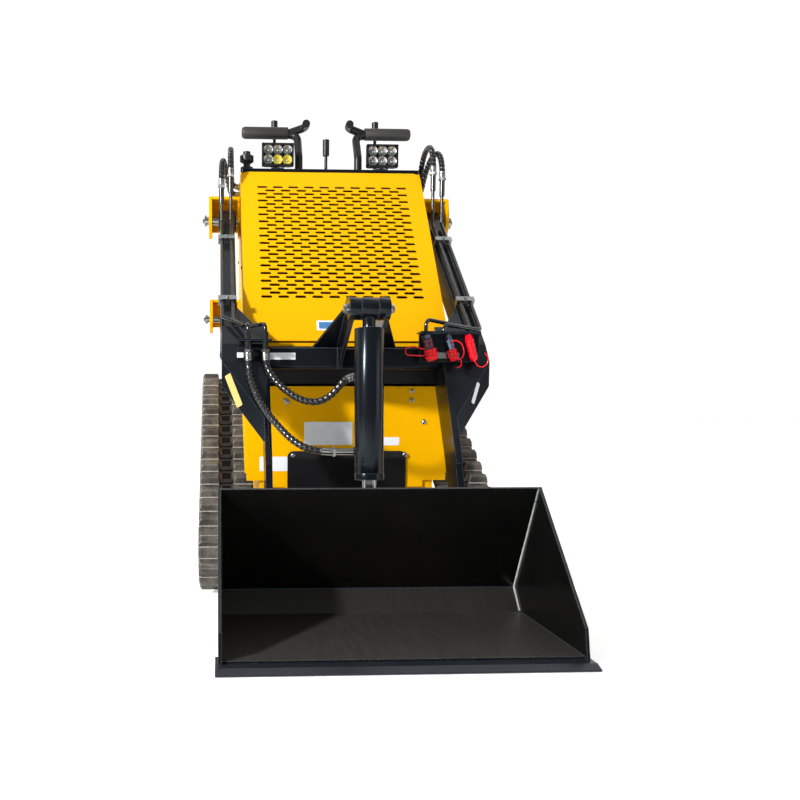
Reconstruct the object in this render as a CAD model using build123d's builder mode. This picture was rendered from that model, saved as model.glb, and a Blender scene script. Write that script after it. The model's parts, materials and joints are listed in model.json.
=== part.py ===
from build123d import *
import os
from math import asin, atan2, cos, degrees, hypot, pi, radians, sin

# Compact stand-on track loader, millimetres, +Z up.
# The machine faces -Y, so its own left side is +X. The origin is on the ground,
# midway between the two tracks and midway between the bucket's lip and the platform's rear edge.

# ---------------------------------------------------------------- driving dimensions
overall_length = 2130.0
lip_y = -overall_length / 2

bucket_width = 850.0        # over the two side plates
bucket_floor = 468.0        # lip to the start of the heel
bucket_heel_y = 524.0       # lip to the rearmost corner
bucket_heel_z = 76.0
bucket_top_y = 362.0        # the back leans forward to this edge
bucket_top_z = 380.0
bucket_sheet = 6.0
bucket_side_sheet = 8.0
edge_thickness = 12.0
edge_length = 110.0
edge_overhang = 7.0
ground_gap = 2.0            # the bucket floats this far above the ground

track_centre_x = 398.0
track_width = 180.0
belt_thickness = 20.0
lug_height = 22.0
lug_pitch = 72.0
lug_row_width = 66.0
idler_y = 865.0
idler_radius = 130.0        # over the lugs, as all three track radii
sprocket_y = 1610.0
sprocket_z = 567.0
sprocket_radius = 150.0
rear_idler_y = 1700.0

arm_pivot_y = 1475.0
arm_pivot_z = 1292.0
knee_y = 850.0
knee_z = 746.0
arm_centre_x = 388.0
arm_tube_width = 50.0
arm_tube_depth = 80.0
arm_wall = 6.0
leg_x = 278.0
leg_thickness = 20.0
hinge_y = 625.0
hinge_z = 112.0
arm_pin = 32.0

lift_base_y = 1560.0
lift_base_z = 930.0
lift_lug_y = 950.0
lift_lug_z = 735.0
lift_barrel = 60.0
lift_rod = 32.0
lift_pin = 25.0

tilt_top_y = 572.0
tilt_top_z = 862.0
tilt_lug_y = 530.0
tilt_lug_z = 300.0
tilt_barrel = 82.0
tilt_rod = 40.0
tilt_pin = 30.0

body_half_width = 338.0
body_sheet = 6.0
body_front_y = 960.0
hood_bottom_z = 800.0
hood_top_y = 1421.0
hood_top_z = 1460.0
body_rear_y = 1790.0
console_rear_y = 1650.0
hull_half_width = track_centre_x - track_width / 2 - 18
hull_floor_z = 120.0
panel_split_z = 654.0

platform_width = 480.0
platform_hinge_y = 1815.0
platform_z = 215.0

running_clearance = 1.0
seat_gap = 0.3              # between pieces that rest on each other


def at(distance, height):
    """Point in a side view: distance behind the lip and height over the ground."""
    return (lip_y + distance, height)


def side_face(points, x, radius=0.0):
    """Closed outline in the side view, at a given X."""
    with BuildSketch(Plane.YZ.offset(x)) as sketch:
        with BuildLine():
            Polyline(*[at(*point) for point in points], close=True)
        make_face()
        if radius:
            fillet(sketch.vertices(), radius)
    return sketch.sketch


def disc(centre, radius, x):
    """Round face in the side view, at a given X."""
    with BuildSketch(Plane.YZ.offset(x)) as sketch:
        with Locations(at(*centre)):
            Circle(radius)
    return sketch.sketch


def save(piece, name):
    piece.part.label = name
    export_step(piece.part, f"parts/{name}.step")


os.makedirs("parts", exist_ok=True)
sides = ((1, "left"), (-1, "right"))

# ---------------------------------------------------------------- bucket
shell_bottom = ground_gap + edge_thickness
half_bucket = bucket_width / 2
with BuildPart() as bucket:
    with BuildSketch(Plane.YZ) as shell_section:
        with BuildLine():
            floor_line = Polyline(
                at(edge_length / 2, shell_bottom),
                at(bucket_floor, shell_bottom),
                at(bucket_heel_y, bucket_heel_z),
                at(bucket_top_y, bucket_top_z),
            )
            offset(floor_line, amount=bucket_sheet, side=Side.LEFT)
        make_face()
    extrude(amount=half_bucket - bucket_side_sheet, both=True)
    side_outline = (
        (44, shell_bottom),
        (bucket_floor, shell_bottom),
        (bucket_heel_y, bucket_heel_z),
        (bucket_top_y, bucket_top_z),
        (60, 84),
    )
    for side, _ in sides:
        inner = side * (half_bucket - bucket_side_sheet)
        extrude(side_face(side_outline, inner), amount=bucket_side_sheet * side)
save(bucket, "bucket_shell")

with BuildPart() as cutting_edge:
    bevel = edge_thickness - 4
    edge_outline = (
        (0, ground_gap),
        (edge_length, ground_gap),
        (edge_length, shell_bottom),
        (24, shell_bottom),
        (0, ground_gap + edge_thickness - bevel),
    )
    extrude(side_face(edge_outline, 0), amount=half_bucket + edge_overhang, both=True)
save(cutting_edge, "cutting_edge")

# The attachment plate lies on the bucket's leaning back and carries the hinge ears.
back_lean = atan2(bucket_heel_y - bucket_top_y, bucket_top_z - bucket_heel_z)
plate_half_width = 320.0
plate_thickness = 10.0
plate_low, plate_high = 18.0, 300.0
ear_thickness = 12.0
ear_gap = 2.0


def on_back(along, out):
    """Side-view point measured up the bucket's back from the heel, and out from it."""
    return (
        bucket_heel_y - along * sin(back_lean) + out * cos(back_lean),
        bucket_heel_z + along * cos(back_lean) + out * sin(back_lean),
    )


with BuildPart() as attach_plate:
    plate_outline = (
        on_back(plate_low, 0),
        on_back(plate_high, 0),
        on_back(plate_high, plate_thickness),
        on_back(plate_low, plate_thickness),
    )
    extrude(side_face(plate_outline, 0), amount=plate_half_width, both=True)
    hinge_ear = (
        on_back(plate_low, plate_thickness),
        on_back(150, plate_thickness),
        (hinge_y + 14, hinge_z + 24),
        (hinge_y + 14, hinge_z - 24),
    )
    tilt_ear = (
        on_back(120, plate_thickness),
        on_back(plate_high, plate_thickness),
        (tilt_lug_y + 6, tilt_lug_z + 28),
        (tilt_lug_y + 6, tilt_lug_z - 28),
    )
    ear_step = leg_thickness / 2 + ear_gap + ear_thickness / 2
    for side, _ in sides:
        for step in (-ear_step, ear_step):
            ear_x = side * leg_x + step
            extrude(side_face(hinge_ear, ear_x), amount=ear_thickness / 2, both=True)
            extrude(disc((hinge_y, hinge_z), 30, ear_x), amount=ear_thickness / 2, both=True)
        tilt_ear_x = side * (25 + ear_gap + ear_thickness / 2)
        extrude(side_face(tilt_ear, tilt_ear_x), amount=ear_thickness / 2, both=True)
        extrude(disc((tilt_lug_y, tilt_lug_z), 30, tilt_ear_x), amount=ear_thickness / 2, both=True)
    hinge_bore = disc((hinge_y, hinge_z), arm_pin / 2, 0)
    extrude(hinge_bore, amount=half_bucket, both=True, mode=Mode.SUBTRACT)
    tilt_bore = disc((tilt_lug_y, tilt_lug_z), tilt_pin / 2, 0)
    extrude(tilt_bore, amount=100, both=True, mode=Mode.SUBTRACT)
save(attach_plate, "attach_plate")

# ---------------------------------------------------------------- tracks
track_wheels = (
    (idler_y, idler_radius, idler_radius),
    (sprocket_y, sprocket_z, sprocket_radius),
    (rear_idler_y, idler_radius, idler_radius),
)


def track_outline(inset, x):
    """Loop around the three track wheels, inset from the lug tips."""
    with BuildSketch(Plane.YZ.offset(x)) as sketch:
        with BuildLine():
            for y, z, radius in track_wheels:
                CenterArc(at(y, z), radius - inset, 0, 360)
        make_hull()
    return sketch.sketch


for side, name in sides:
    centre_x = side * track_centre_x
    with BuildPart() as track:
        belt_outer = track_outline(lug_height, centre_x)
        belt_inner = track_outline(lug_height + belt_thickness, centre_x)
        extrude(belt_outer, amount=track_width / 2, both=True)
        extrude(belt_inner, amount=track_width / 2, both=True, mode=Mode.SUBTRACT)
        loop = belt_outer.faces()[0].outer_wire()
        lug_count = round(loop.length / lug_pitch)
        with BuildSketch(Plane.YZ) as lugs:
            for index in range(lug_count):
                foot = loop @ (index / lug_count)
                heading = loop % (index / lug_count)
                turn = degrees(atan2(heading.Z, heading.Y))
                with Locations(Location((foot.Y, foot.Z, 0), (0, 0, turn))):
                    Trapezoid(42, 2 * lug_height, 74.75)
        row_offset = (track_width - lug_row_width) / 2
        for row_x in (centre_x - row_offset, centre_x + row_offset):
            row = lugs.sketch.moved(Location((row_x, 0, 0)))
            extrude(row, amount=lug_row_width / 2, both=True)
        extrude(belt_inner, amount=track_width / 2, both=True, mode=Mode.SUBTRACT)
    save(track, f"track_{name}")
    print(name, "track lugs", lug_count, "belt length", round(loop.length))

# ---------------------------------------------------------------- undercarriage
wheel_inset = lug_height + belt_thickness + running_clearance
wheel_width = 110.0
guide_groove = 44.0         # the belt's guide lugs run in this groove
axle_radius = 16.0
roller_radius = 52.0
roller_count = 3
fork_wall = 10.0
fork_gap = 3.0
beam_half_width = wheel_width / 2 + fork_gap + fork_wall
beam_low, beam_high = 72.0, 190.0
sprocket_teeth = 11
sprocket_width = 40.0
motor_radius = 78.0
outrigger = 60.0            # square tubes that carry the track frames

for side, name in sides:
    centre_x = side * track_centre_x
    with BuildPart() as track_frame:
        plate_x = beam_half_width - fork_wall / 2
        fork_outline = (
            (idler_y - 30, idler_radius - 30),
            (idler_y + 60, beam_low),
            (rear_idler_y - 60, beam_low),
            (rear_idler_y + 30, idler_radius - 30),
            (rear_idler_y + 30, idler_radius + 30),
            (rear_idler_y - 80, beam_high),
            (idler_y + 150, beam_high),
            (idler_y - 30, idler_radius + 30),
        )
        for step in (-plate_x, plate_x):
            extrude(side_face(fork_outline, centre_x + step), amount=fork_wall / 2, both=True)
        web_y = (idler_y + rear_idler_y) / 2
        web_length = rear_idler_y - idler_y - 2 * 190
        with Locations((centre_x, lip_y + web_y, beam_high - fork_wall / 2)):
            Box(2 * plate_x, web_length, fork_wall)
        for y in (idler_y + 260, rear_idler_y - 260):
            tube_length = track_centre_x - plate_x - hull_half_width - 0.3
            tube_x = side * (hull_half_width + 0.3 + tube_length / 2)
            with Locations((tube_x, lip_y + y, (beam_low + beam_high) / 2)):
                Box(tube_length, outrigger, outrigger)
    save(track_frame, f"track_frame_{name}")

    with BuildPart() as rollers:
        roller_pitch = (rear_idler_y - idler_y) / (roller_count + 1)
        wheels = [
            (idler_y, idler_radius, idler_radius - wheel_inset),
            (rear_idler_y, idler_radius, idler_radius - wheel_inset),
        ]
        for index in range(roller_count):
            roller_y = idler_y + roller_pitch * (index + 1)
            wheels.append((roller_y, wheel_inset + roller_radius, roller_radius))
        for y, z, radius in wheels:
            extrude(disc((y, z), radius, centre_x), amount=wheel_width / 2, both=True)
            with BuildSketch(Plane.YZ.offset(centre_x)) as groove:
                with Locations(at(y, z)):
                    Circle(radius + 1)
                    Circle(radius - 14, mode=Mode.SUBTRACT)
            extrude(groove.sketch, amount=guide_groove / 2, both=True, mode=Mode.SUBTRACT)
            for end in (-1, 1):
                face_x = centre_x + end * (wheel_width / 2 - 12)
                with BuildSketch(Plane.YZ.offset(face_x)) as dish:
                    with Locations(at(y, z)):
                        Circle(radius - 22)
                        Circle(axle_radius + 8, mode=Mode.SUBTRACT)
                extrude(dish.sketch, amount=end * 20, mode=Mode.SUBTRACT)
            extrude(disc((y, z), axle_radius, centre_x), amount=wheel_width / 2 + fork_gap, both=True)
    save(rollers, f"rollers_{name}")

    with BuildPart() as sprocket:
        root_radius = sprocket_radius - wheel_inset - 14
        with BuildSketch(Plane.YZ.offset(centre_x)) as teeth:
            with Locations(at(sprocket_y, sprocket_z)):
                Circle(root_radius)
                with PolarLocations(root_radius, sprocket_teeth):
                    Trapezoid(36, 26, 66, rotation=-90)
                with PolarLocations(root_radius * 0.62, 5):
                    Circle(14, mode=Mode.SUBTRACT)
        extrude(teeth.sketch, amount=sprocket_width / 2, both=True)
        hub = disc((sprocket_y, sprocket_z), motor_radius * 0.72, centre_x)
        extrude(hub, amount=wheel_width / 2, both=True)
    save(sprocket, f"drive_sprocket_{name}")

    with BuildPart() as motor:
        near = centre_x - side * (wheel_width / 2)
        motor_face = disc((sprocket_y, sprocket_z), motor_radius, near)
        extrude(motor_face, amount=-side * (abs(near) - hull_half_width))
    save(motor, f"drive_motor_{name}")

# ---------------------------------------------------------------- chassis
run_angle = atan2(sprocket_z - idler_radius, sprocket_y - idler_y)
wheel_distance = hypot(sprocket_y - idler_y, sprocket_z - idler_radius)
run_angle += asin((sprocket_radius - idler_radius) / wheel_distance)
fender_gap = 22.0


def over_track(y):
    """Height of the body's lower edge above the sloping run, at a distance behind the lip."""
    tip_y = idler_y - idler_radius * sin(run_angle)
    tip_z = idler_radius + idler_radius * cos(run_angle)
    return tip_z + (y - tip_y) * sin(run_angle) / cos(run_angle) + fender_gap / cos(run_angle)


body_low_rear = sprocket_z + sprocket_radius + fender_gap + 6
sill_height = 11.0
sill_depth = 24.0
slope_end_y = sprocket_y - 60
hull_front_y = body_front_y + 0.3
wall_outline = (
    (body_front_y, over_track(body_front_y)),
    (body_front_y, hood_bottom_z),
    (hood_top_y, hood_top_z),
    (console_rear_y, hood_top_z),
    (body_rear_y - 30, hood_top_z - 220),
    (body_rear_y, hood_top_z - 420),
    (body_rear_y, body_low_rear),
    (slope_end_y, body_low_rear),
)
hull_outline = (
    (hull_front_y, hull_floor_z + 60),
    (hull_front_y, over_track(hull_front_y) + 30),
    (slope_end_y, body_low_rear + 30),
    (body_rear_y, body_low_rear + 30),
    (body_rear_y, hull_floor_z + 60),
    (body_rear_y - 60, hull_floor_z),
    (hull_front_y + 60, hull_floor_z),
)
with BuildPart() as chassis:
    # lower hull between the tracks, open at the top
    extrude(side_face(hull_outline, 0), amount=hull_half_width, both=True)
    hull_inside = (
        (hull_front_y + body_sheet, hull_floor_z + 60),
        (hull_front_y + body_sheet, hood_top_z),
        (body_rear_y - body_sheet, hood_top_z),
        (body_rear_y - body_sheet, hull_floor_z + 60),
        (body_rear_y - 60, hull_floor_z + body_sheet),
        (hull_front_y + 60, hull_floor_z + body_sheet),
    )
    extrude(
        side_face(hull_inside, 0), amount=hull_half_width - body_sheet, both=True, mode=Mode.SUBTRACT
    )
    for side, _ in sides:
        wall_x = side * (body_half_width - body_sheet / 2)
        extrude(side_face(wall_outline, wall_x), amount=body_sheet / 2, both=True)
        # the shelf that joins the wide upper body to the hull over the sloping run
        shelf_outline = (
            (body_front_y + 10, over_track(body_front_y + 10)),
            (slope_end_y, body_low_rear),
            (body_rear_y, body_low_rear),
            (body_rear_y, body_low_rear + body_sheet),
            (slope_end_y, body_low_rear + body_sheet),
            (body_front_y + 10, over_track(body_front_y + 10) + body_sheet + 2),
        )
        shelf_width = body_half_width - hull_half_width
        shelf_x = side * (body_half_width + hull_half_width) / 2
        extrude(side_face(shelf_outline, shelf_x), amount=shelf_width / 2, both=True)
    # sill under the hood's front edge
    with Locations((0, lip_y + body_front_y + sill_depth / 2 - 5, hood_bottom_z - 5 - sill_height / 2)):
        Box(2 * (body_half_width - 1), sill_depth, sill_height)
save(chassis, "chassis_frame")

with BuildPart() as front_panel:
    panel_thickness = 8.0
    panel_half = body_half_width - body_sheet
    panel_low = over_track(body_front_y) - fender_gap - 2
    centre_low = hull_floor_z + 90
    notch_low = panel_low - 22
    notch_inner, notch_outer = 203.0, 255.0
    with BuildSketch(Plane.XZ.offset(-(lip_y + body_front_y))) as panel_face:
        with BuildLine():
            Polyline(
                (-panel_half, panel_split_z),
                (panel_half, panel_split_z),
                (panel_half, panel_low),
                (notch_outer, panel_low),
                (notch_outer, notch_low),
                (notch_inner, notch_low),
                (notch_inner, centre_low),
                (-notch_inner, centre_low),
                (-notch_inner, notch_low),
                (-notch_outer, notch_low),
                (-notch_outer, panel_low),
                (-panel_half, panel_low),
                close=True,
            )
        make_face()
    extrude(panel_face.sketch, amount=panel_thickness)
save(front_panel, "front_panel")

with BuildPart() as guard_plate:
    guard_half = 197.0
    guard_top = 441.0
    guard_y = body_front_y - panel_thickness
    with BuildSketch(Plane.XZ.offset(-(lip_y + guard_y))) as guard_face:
        with Locations((0, (guard_top + hull_floor_z + 100) / 2)):
            Rectangle(2 * guard_half, guard_top - hull_floor_z - 100)
        fillet(guard_face.vertices(), 20)
    extrude(guard_face.sketch, amount=6)
save(guard_plate, "guard_plate")

with BuildPart() as crossmember:
    member_low = panel_split_z + 8
    member_high = hood_bottom_z - 5 - sill_height - seat_gap
    with Locations((0, lip_y + body_front_y + 25, (member_low + member_high) / 2)):
        Box(2 * panel_half - 2 * seat_gap, 50, member_high - member_low)
save(crossmember, "front_crossmember")

# ---------------------------------------------------------------- hood
hood_sheet = 3.0
slot_length = 38.0
slot_height = 11.5
slot_columns = 10
slot_rows = 31
slot_pitch = 57.6
row_pitch = 17.8
grille_low = 190.0
hood_gap = 0.3
hood_length = hypot(hood_top_y - body_front_y, hood_top_z - hood_bottom_z)
hood_slope = degrees(atan2(hood_top_z - hood_bottom_z, hood_top_y - body_front_y))
hood_plane = Plane(
    origin=(0, lip_y + body_front_y, hood_bottom_z),
    x_dir=(1, 0, 0),
    z_dir=(0, -sin(radians(hood_slope)), cos(radians(hood_slope))),
)
with BuildPart() as hood:
    with BuildSketch(hood_plane.offset(hood_gap)) as hood_face:
        with Locations((0, hood_length / 2)):
            Rectangle(2 * body_half_width, hood_length)
        fillet(hood_face.vertices().group_by(Axis.Z)[-1], 28)
        first_row = grille_low + (slot_rows - 1) / 2 * row_pitch
        with Locations((0, first_row)):
            with GridLocations(slot_pitch, 2 * row_pitch, slot_columns, (slot_rows + 1) // 2):
                SlotOverall(slot_length, slot_height, mode=Mode.SUBTRACT)
            with GridLocations(slot_pitch, 2 * row_pitch, slot_columns - 1, slot_rows // 2):
                SlotOverall(slot_length, slot_height, mode=Mode.SUBTRACT)
    extrude(hood_face.sketch, amount=hood_sheet)
save(hood, "hood")

# ---------------------------------------------------------------- top and rear of the body
console_thickness = 16.0
console_z = hood_top_z + seat_gap
with BuildPart() as console:
    console_front = hood_top_y + 4
    console_length = console_rear_y - console_front
    with Locations((0, lip_y + console_front + console_length / 2, console_z + console_thickness / 2)):
        Box(2 * body_half_width, console_length, console_thickness)
    fillet(console.edges().filter_by(Axis.Z), 12)
save(console, "console")

with BuildPart() as dash:
    rear_wall = (
        (console_rear_y + 2, hood_top_z - 2),
        (body_rear_y - 28, hood_top_z - 222),
        (body_rear_y - 34, hood_top_z - 222),
        (console_rear_y - 4, hood_top_z - 2),
    )
    extrude(side_face(rear_wall, 0), amount=body_half_width - body_sheet - 0.4, both=True)
save(dash, "dash_panel")

with BuildPart() as rear_door:
    door_outline = (
        (body_rear_y - 28, hood_top_z - 226),
        (body_rear_y + 2, hood_top_z - 420),
        (body_rear_y + 2, body_low_rear + 40),
        (body_rear_y - 4, body_low_rear + 40),
        (body_rear_y - 4, hood_top_z - 420),
        (body_rear_y - 34, hood_top_z - 226),
    )
    extrude(side_face(door_outline, 0), amount=body_half_width - body_sheet - 0.4, both=True)
save(rear_door, "rear_cover")

# The engine stands on two rails that span the hull.
engine_size = 420.0
engine_y = 1400.0
engine_low = 430.0
rail_size = 50.0
rail_spread = 300.0
with BuildPart() as engine:
    with Locations((0, lip_y + engine_y, engine_low + engine_size / 2)):
        Box(engine_size, engine_size, engine_size)
save(engine, "engine_block")

with BuildPart() as engine_rails:
    rail_z = engine_low - seat_gap - rail_size / 2
    for rail_y in (engine_y - rail_spread / 2, engine_y + rail_spread / 2):
        with Locations((0, lip_y + rail_y, rail_z)):
            Box(2 * (hull_half_width - body_sheet - seat_gap), rail_size, rail_size)
save(engine_rails, "engine_rails")

# ---------------------------------------------------------------- arm brackets
bracket_outer_x = 458.0
bracket_plate = 12.0
bracket_lid = 10.0
bracket_table = (
    # pin y, pin z, lid front, rear, lid height over the pin, drop below the pin
    (arm_pivot_y, arm_pivot_z, arm_pivot_y - 34, arm_pivot_y + 66, 84, 62),
    (lift_base_y, lift_base_z, lift_base_y + 4, lift_base_y + 62, 78, 52),
)
with BuildPart() as brackets:
    for side, _ in sides:
        for pin_y, pin_z, lid_front, rear, lid_rise, drop in bracket_table:
            plate_outline = (
                (lid_front, pin_z + lid_rise),
                (rear, pin_z + lid_rise),
                (rear, pin_z - drop / 2),
                (pin_y + 24, pin_z - drop),
                (pin_y - 20, pin_z - drop),
                (pin_y - 48, pin_z - 16),
                (pin_y - 48, pin_z + 24),
            )
            outer_x = side * (bracket_outer_x - bracket_plate / 2)
            extrude(side_face(plate_outline, outer_x), amount=bracket_plate / 2, both=True)
            inner_x = side * (body_half_width + 5)
            extrude(side_face(plate_outline, inner_x), amount=5, both=True)
            span = bracket_outer_x - body_half_width
            span_x = side * (bracket_outer_x + body_half_width) / 2
            with Locations((span_x, lip_y + (lid_front + rear) / 2, pin_z + lid_rise - bracket_lid / 2)):
                Box(span, rear - lid_front, bracket_lid)
            with Locations((span_x, lip_y + rear - bracket_lid / 2, pin_z + lid_rise / 2 - drop / 4)):
                Box(span, bracket_lid, lid_rise + drop / 2)
            bore = disc((pin_y, pin_z), (arm_pin if pin_y == arm_pivot_y else lift_pin) / 2, span_x)
            extrude(bore, amount=span, both=True, mode=Mode.SUBTRACT)
save(brackets, "arm_brackets")

with BuildPart() as pivot_pins:
    for side, _ in sides:
        for pin_y, pin_z, radius in (
            (arm_pivot_y, arm_pivot_z, arm_pin / 2),
            (lift_base_y, lift_base_z, lift_pin / 2),
        ):
            start = side * (body_half_width + 0.5)
            length = bracket_outer_x - body_half_width + 8
            extrude(disc((pin_y, pin_z), radius - 0.3, start), amount=side * length)
            extrude(disc((pin_y, pin_z), radius + 5, start + side * length), amount=side * 8)
save(pivot_pins, "pivot_pins")

# ---------------------------------------------------------------- lift arms
arm_angle = atan2(arm_pivot_z - knee_z, arm_pivot_y - knee_y)
arm_length = hypot(arm_pivot_z - knee_z, arm_pivot_y - knee_y)
cheek_thickness = 8.0


def along_arm(distance, out):
    """Side-view point measured from the pivot towards the knee, and out over the tube."""
    return (
        arm_pivot_y - distance * cos(arm_angle) - out * sin(arm_angle),
        arm_pivot_z - distance * sin(arm_angle) + out * cos(arm_angle),
    )


half_depth = arm_tube_depth / 2
knee_corner = along_arm(arm_length, half_depth)
knee_front = (knee_corner[0] - 44, knee_corner[1] - 54)
leg_bend = (knee_front[0] - 167, knee_front[1] - 302)
for side, name in sides:
    arm_x = side * arm_centre_x
    with BuildPart() as arm:
        tube_outline = (
            along_arm(0, half_depth),
            along_arm(arm_length, half_depth),
            along_arm(arm_length, -half_depth),
            along_arm(0, -half_depth),
        )
        extrude(side_face(tube_outline, arm_x), amount=arm_tube_width / 2, both=True)
        tube_hollow = (
            along_arm(70, half_depth - arm_wall),
            along_arm(arm_length + 1, half_depth - arm_wall),
            along_arm(arm_length + 1, arm_wall - half_depth),
            along_arm(70, arm_wall - half_depth),
        )
        hollow_width = arm_tube_width / 2 - arm_wall
        extrude(side_face(tube_hollow, arm_x), amount=hollow_width, both=True, mode=Mode.SUBTRACT)
        pivot = (arm_pivot_y, arm_pivot_z)
        extrude(disc(pivot, half_depth, arm_x), amount=arm_tube_width / 2 + 8, both=True)
        cheek_outline = (
            along_arm(arm_length - 200, 8 - half_depth),
            along_arm(arm_length - 120, half_depth),
            knee_corner,
            (knee_front[0] + 11, knee_front[1] + 13.5),
            (knee_front[0] + 14, knee_front[1] - 66),
            (lift_lug_y - 14, lift_lug_z - 36),
            (lift_lug_y + 28, lift_lug_z - 26),
            (lift_lug_y + 38, lift_lug_z + 4),
        )
        for step in (-1, 1):
            cheek_x = arm_x + step * (arm_tube_width / 2 - cheek_thickness / 2)
            cheek_face = side_face(cheek_outline, cheek_x)
            extrude(cheek_face, amount=cheek_thickness / 2, both=True)
        arm_bore = disc(pivot, arm_pin / 2 + 0.2, arm_x)
        extrude(arm_bore, amount=60, both=True, mode=Mode.SUBTRACT)
    save(arm, f"lift_arm_{name}")

knee_sheet = 8.0
beam_front = knee_front[0] + 22
beam_depth = 80.0
beam_top = knee_corner[1] - 8
beam_height = 64.0
arm_inner_x = arm_centre_x - arm_tube_width / 2
arm_outer_x = arm_centre_x + arm_tube_width / 2
leg_outer_x = leg_x + leg_thickness / 2

# The front plate's slanting outer edge is folded back into a stiffening flange.
leg_slope = atan2(knee_front[1] - leg_bend[1], knee_front[0] - leg_bend[0])
fold_low_z = knee_front[1] - 168
fold_low_y = knee_front[0] - 168 * cos(leg_slope) / sin(leg_slope)
plate_normal = Vector(0, -sin(leg_slope), cos(leg_slope))
fold_low = Vector(leg_outer_x, lip_y + fold_low_y, fold_low_z) + plate_normal * knee_sheet
fold_high = Vector(arm_outer_x, lip_y + knee_front[0], knee_front[1]) + plate_normal * knee_sheet
fold_line = (fold_low - fold_high).normalized()
flange_width = 51.0
flange_normal = (plate_normal - fold_line.cross(plate_normal)).normalized()
with BuildPart() as flange:
    with BuildSketch(Plane(origin=fold_high, x_dir=fold_line, z_dir=-flange_normal)):
        with Locations(((fold_low - fold_high).length / 2, -flange_width / 2)):
            Rectangle(3 * (fold_low - fold_high).length, flange_width)
    extrude(amount=knee_sheet)
    flange_span = arm_outer_x - leg_outer_x
    with Locations((leg_outer_x + flange_span / 2 - 0.5, lip_y + knee_front[0], knee_front[1])):
        Box(flange_span + 1, 600, 1200, mode=Mode.INTERSECT)

for side, name in sides:
    with BuildPart() as knee:
        leg_outline = (
            (hinge_y - 34, hinge_z),
            (leg_bend[0] - 40, leg_bend[1] - 90),
            leg_bend,
            knee_front,
            (beam_front + beam_depth, beam_top),
            (beam_front + beam_depth, beam_top - beam_height - 20),
            (leg_bend[0] + 130, leg_bend[1] + 30),
            (leg_bend[0] + 60, leg_bend[1] - 100),
            (hinge_y + 34, hinge_z),
        )
        leg_face = side_face(leg_outline, side * leg_x)
        extrude(leg_face, amount=leg_thickness / 2, both=True)
        boss = disc((hinge_y, hinge_z), 34, side * leg_x)
        extrude(boss, amount=leg_thickness / 2, both=True)
        # front plate, bent over the end of the tube and down the leg
        with BuildSketch(Plane.YZ.offset(side * (leg_x - leg_thickness / 2))) as strip:
            with BuildLine():
                fold = Polyline(
                    at(*along_arm(arm_length - 90, half_depth + 0.3)),
                    at(knee_corner[0] - 0.2, knee_corner[1] + 0.3),
                    at(*knee_front),
                    at(*leg_bend),
                )
                offset(fold, amount=knee_sheet, side=Side.RIGHT)
            make_face()
        strip_width = arm_outer_x - leg_x + leg_thickness / 2
        extrude(strip.sketch, amount=side * strip_width)
        with BuildSketch(Plane.XZ.offset(-lip_y - 300)) as taper:
            with BuildLine():
                Polyline(
                    (side * (arm_outer_x + 5), fold_high.Z + 5),
                    (side * arm_outer_x, fold_high.Z),
                    (side * leg_outer_x, fold_low.Z),
                    (side * leg_outer_x, 200),
                    (side * (arm_outer_x + 5), 200),
                    close=True,
                )
            make_face()
        extrude(taper.sketch, amount=-900, mode=Mode.SUBTRACT)
        add(flange.part if side > 0 else flange.part.mirror(Plane.YZ))
        # gusset in the plane of the arm's upper face, from the arm to the crossbeam's end
        web_plane = Plane(
            origin=(0, *at(*along_arm(0, half_depth + 0.5))),
            x_dir=(1, 0, 0),
            z_dir=(0, sin(arm_angle), -cos(arm_angle)),
        )
        with BuildSketch(web_plane) as web:
            with BuildLine():
                Polyline(
                    (side * (arm_inner_x - seat_gap), arm_length - 206),
                    (side * (arm_inner_x - seat_gap), arm_length - 8),
                    (side * (leg_x - leg_thickness / 2), arm_length - 8),
                    (side * (leg_x - leg_thickness / 2), arm_length - 40),
                    close=True,
                )
            make_face()
        extrude(web.sketch, amount=knee_sheet)
        stub_length = arm_inner_x - leg_outer_x - seat_gap
        stub_x = side * (leg_outer_x + stub_length / 2)
        with Locations((stub_x, lip_y + beam_front + beam_depth / 2, beam_top - beam_height / 2)):
            Box(stub_length, beam_depth, beam_height)
        hinge_hole = disc((hinge_y, hinge_z), arm_pin / 2 + 0.2, side * leg_x)
        extrude(hinge_hole, amount=40, both=True, mode=Mode.SUBTRACT)
    save(knee, f"knee_{name}")

beam_half = leg_x - leg_thickness / 2 - 0.3
with BuildPart() as crossbeam:
    with BuildSketch(Plane.YZ) as beam_section:
        with Locations(at(beam_front + beam_depth / 2, beam_top - beam_height / 2)):
            RectangleRounded(beam_depth, beam_height, 8)
            RectangleRounded(beam_depth - 12, beam_height - 12, 3, mode=Mode.SUBTRACT)
    extrude(beam_section.sketch, amount=beam_half, both=True)
save(crossbeam, "crossbeam")

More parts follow.
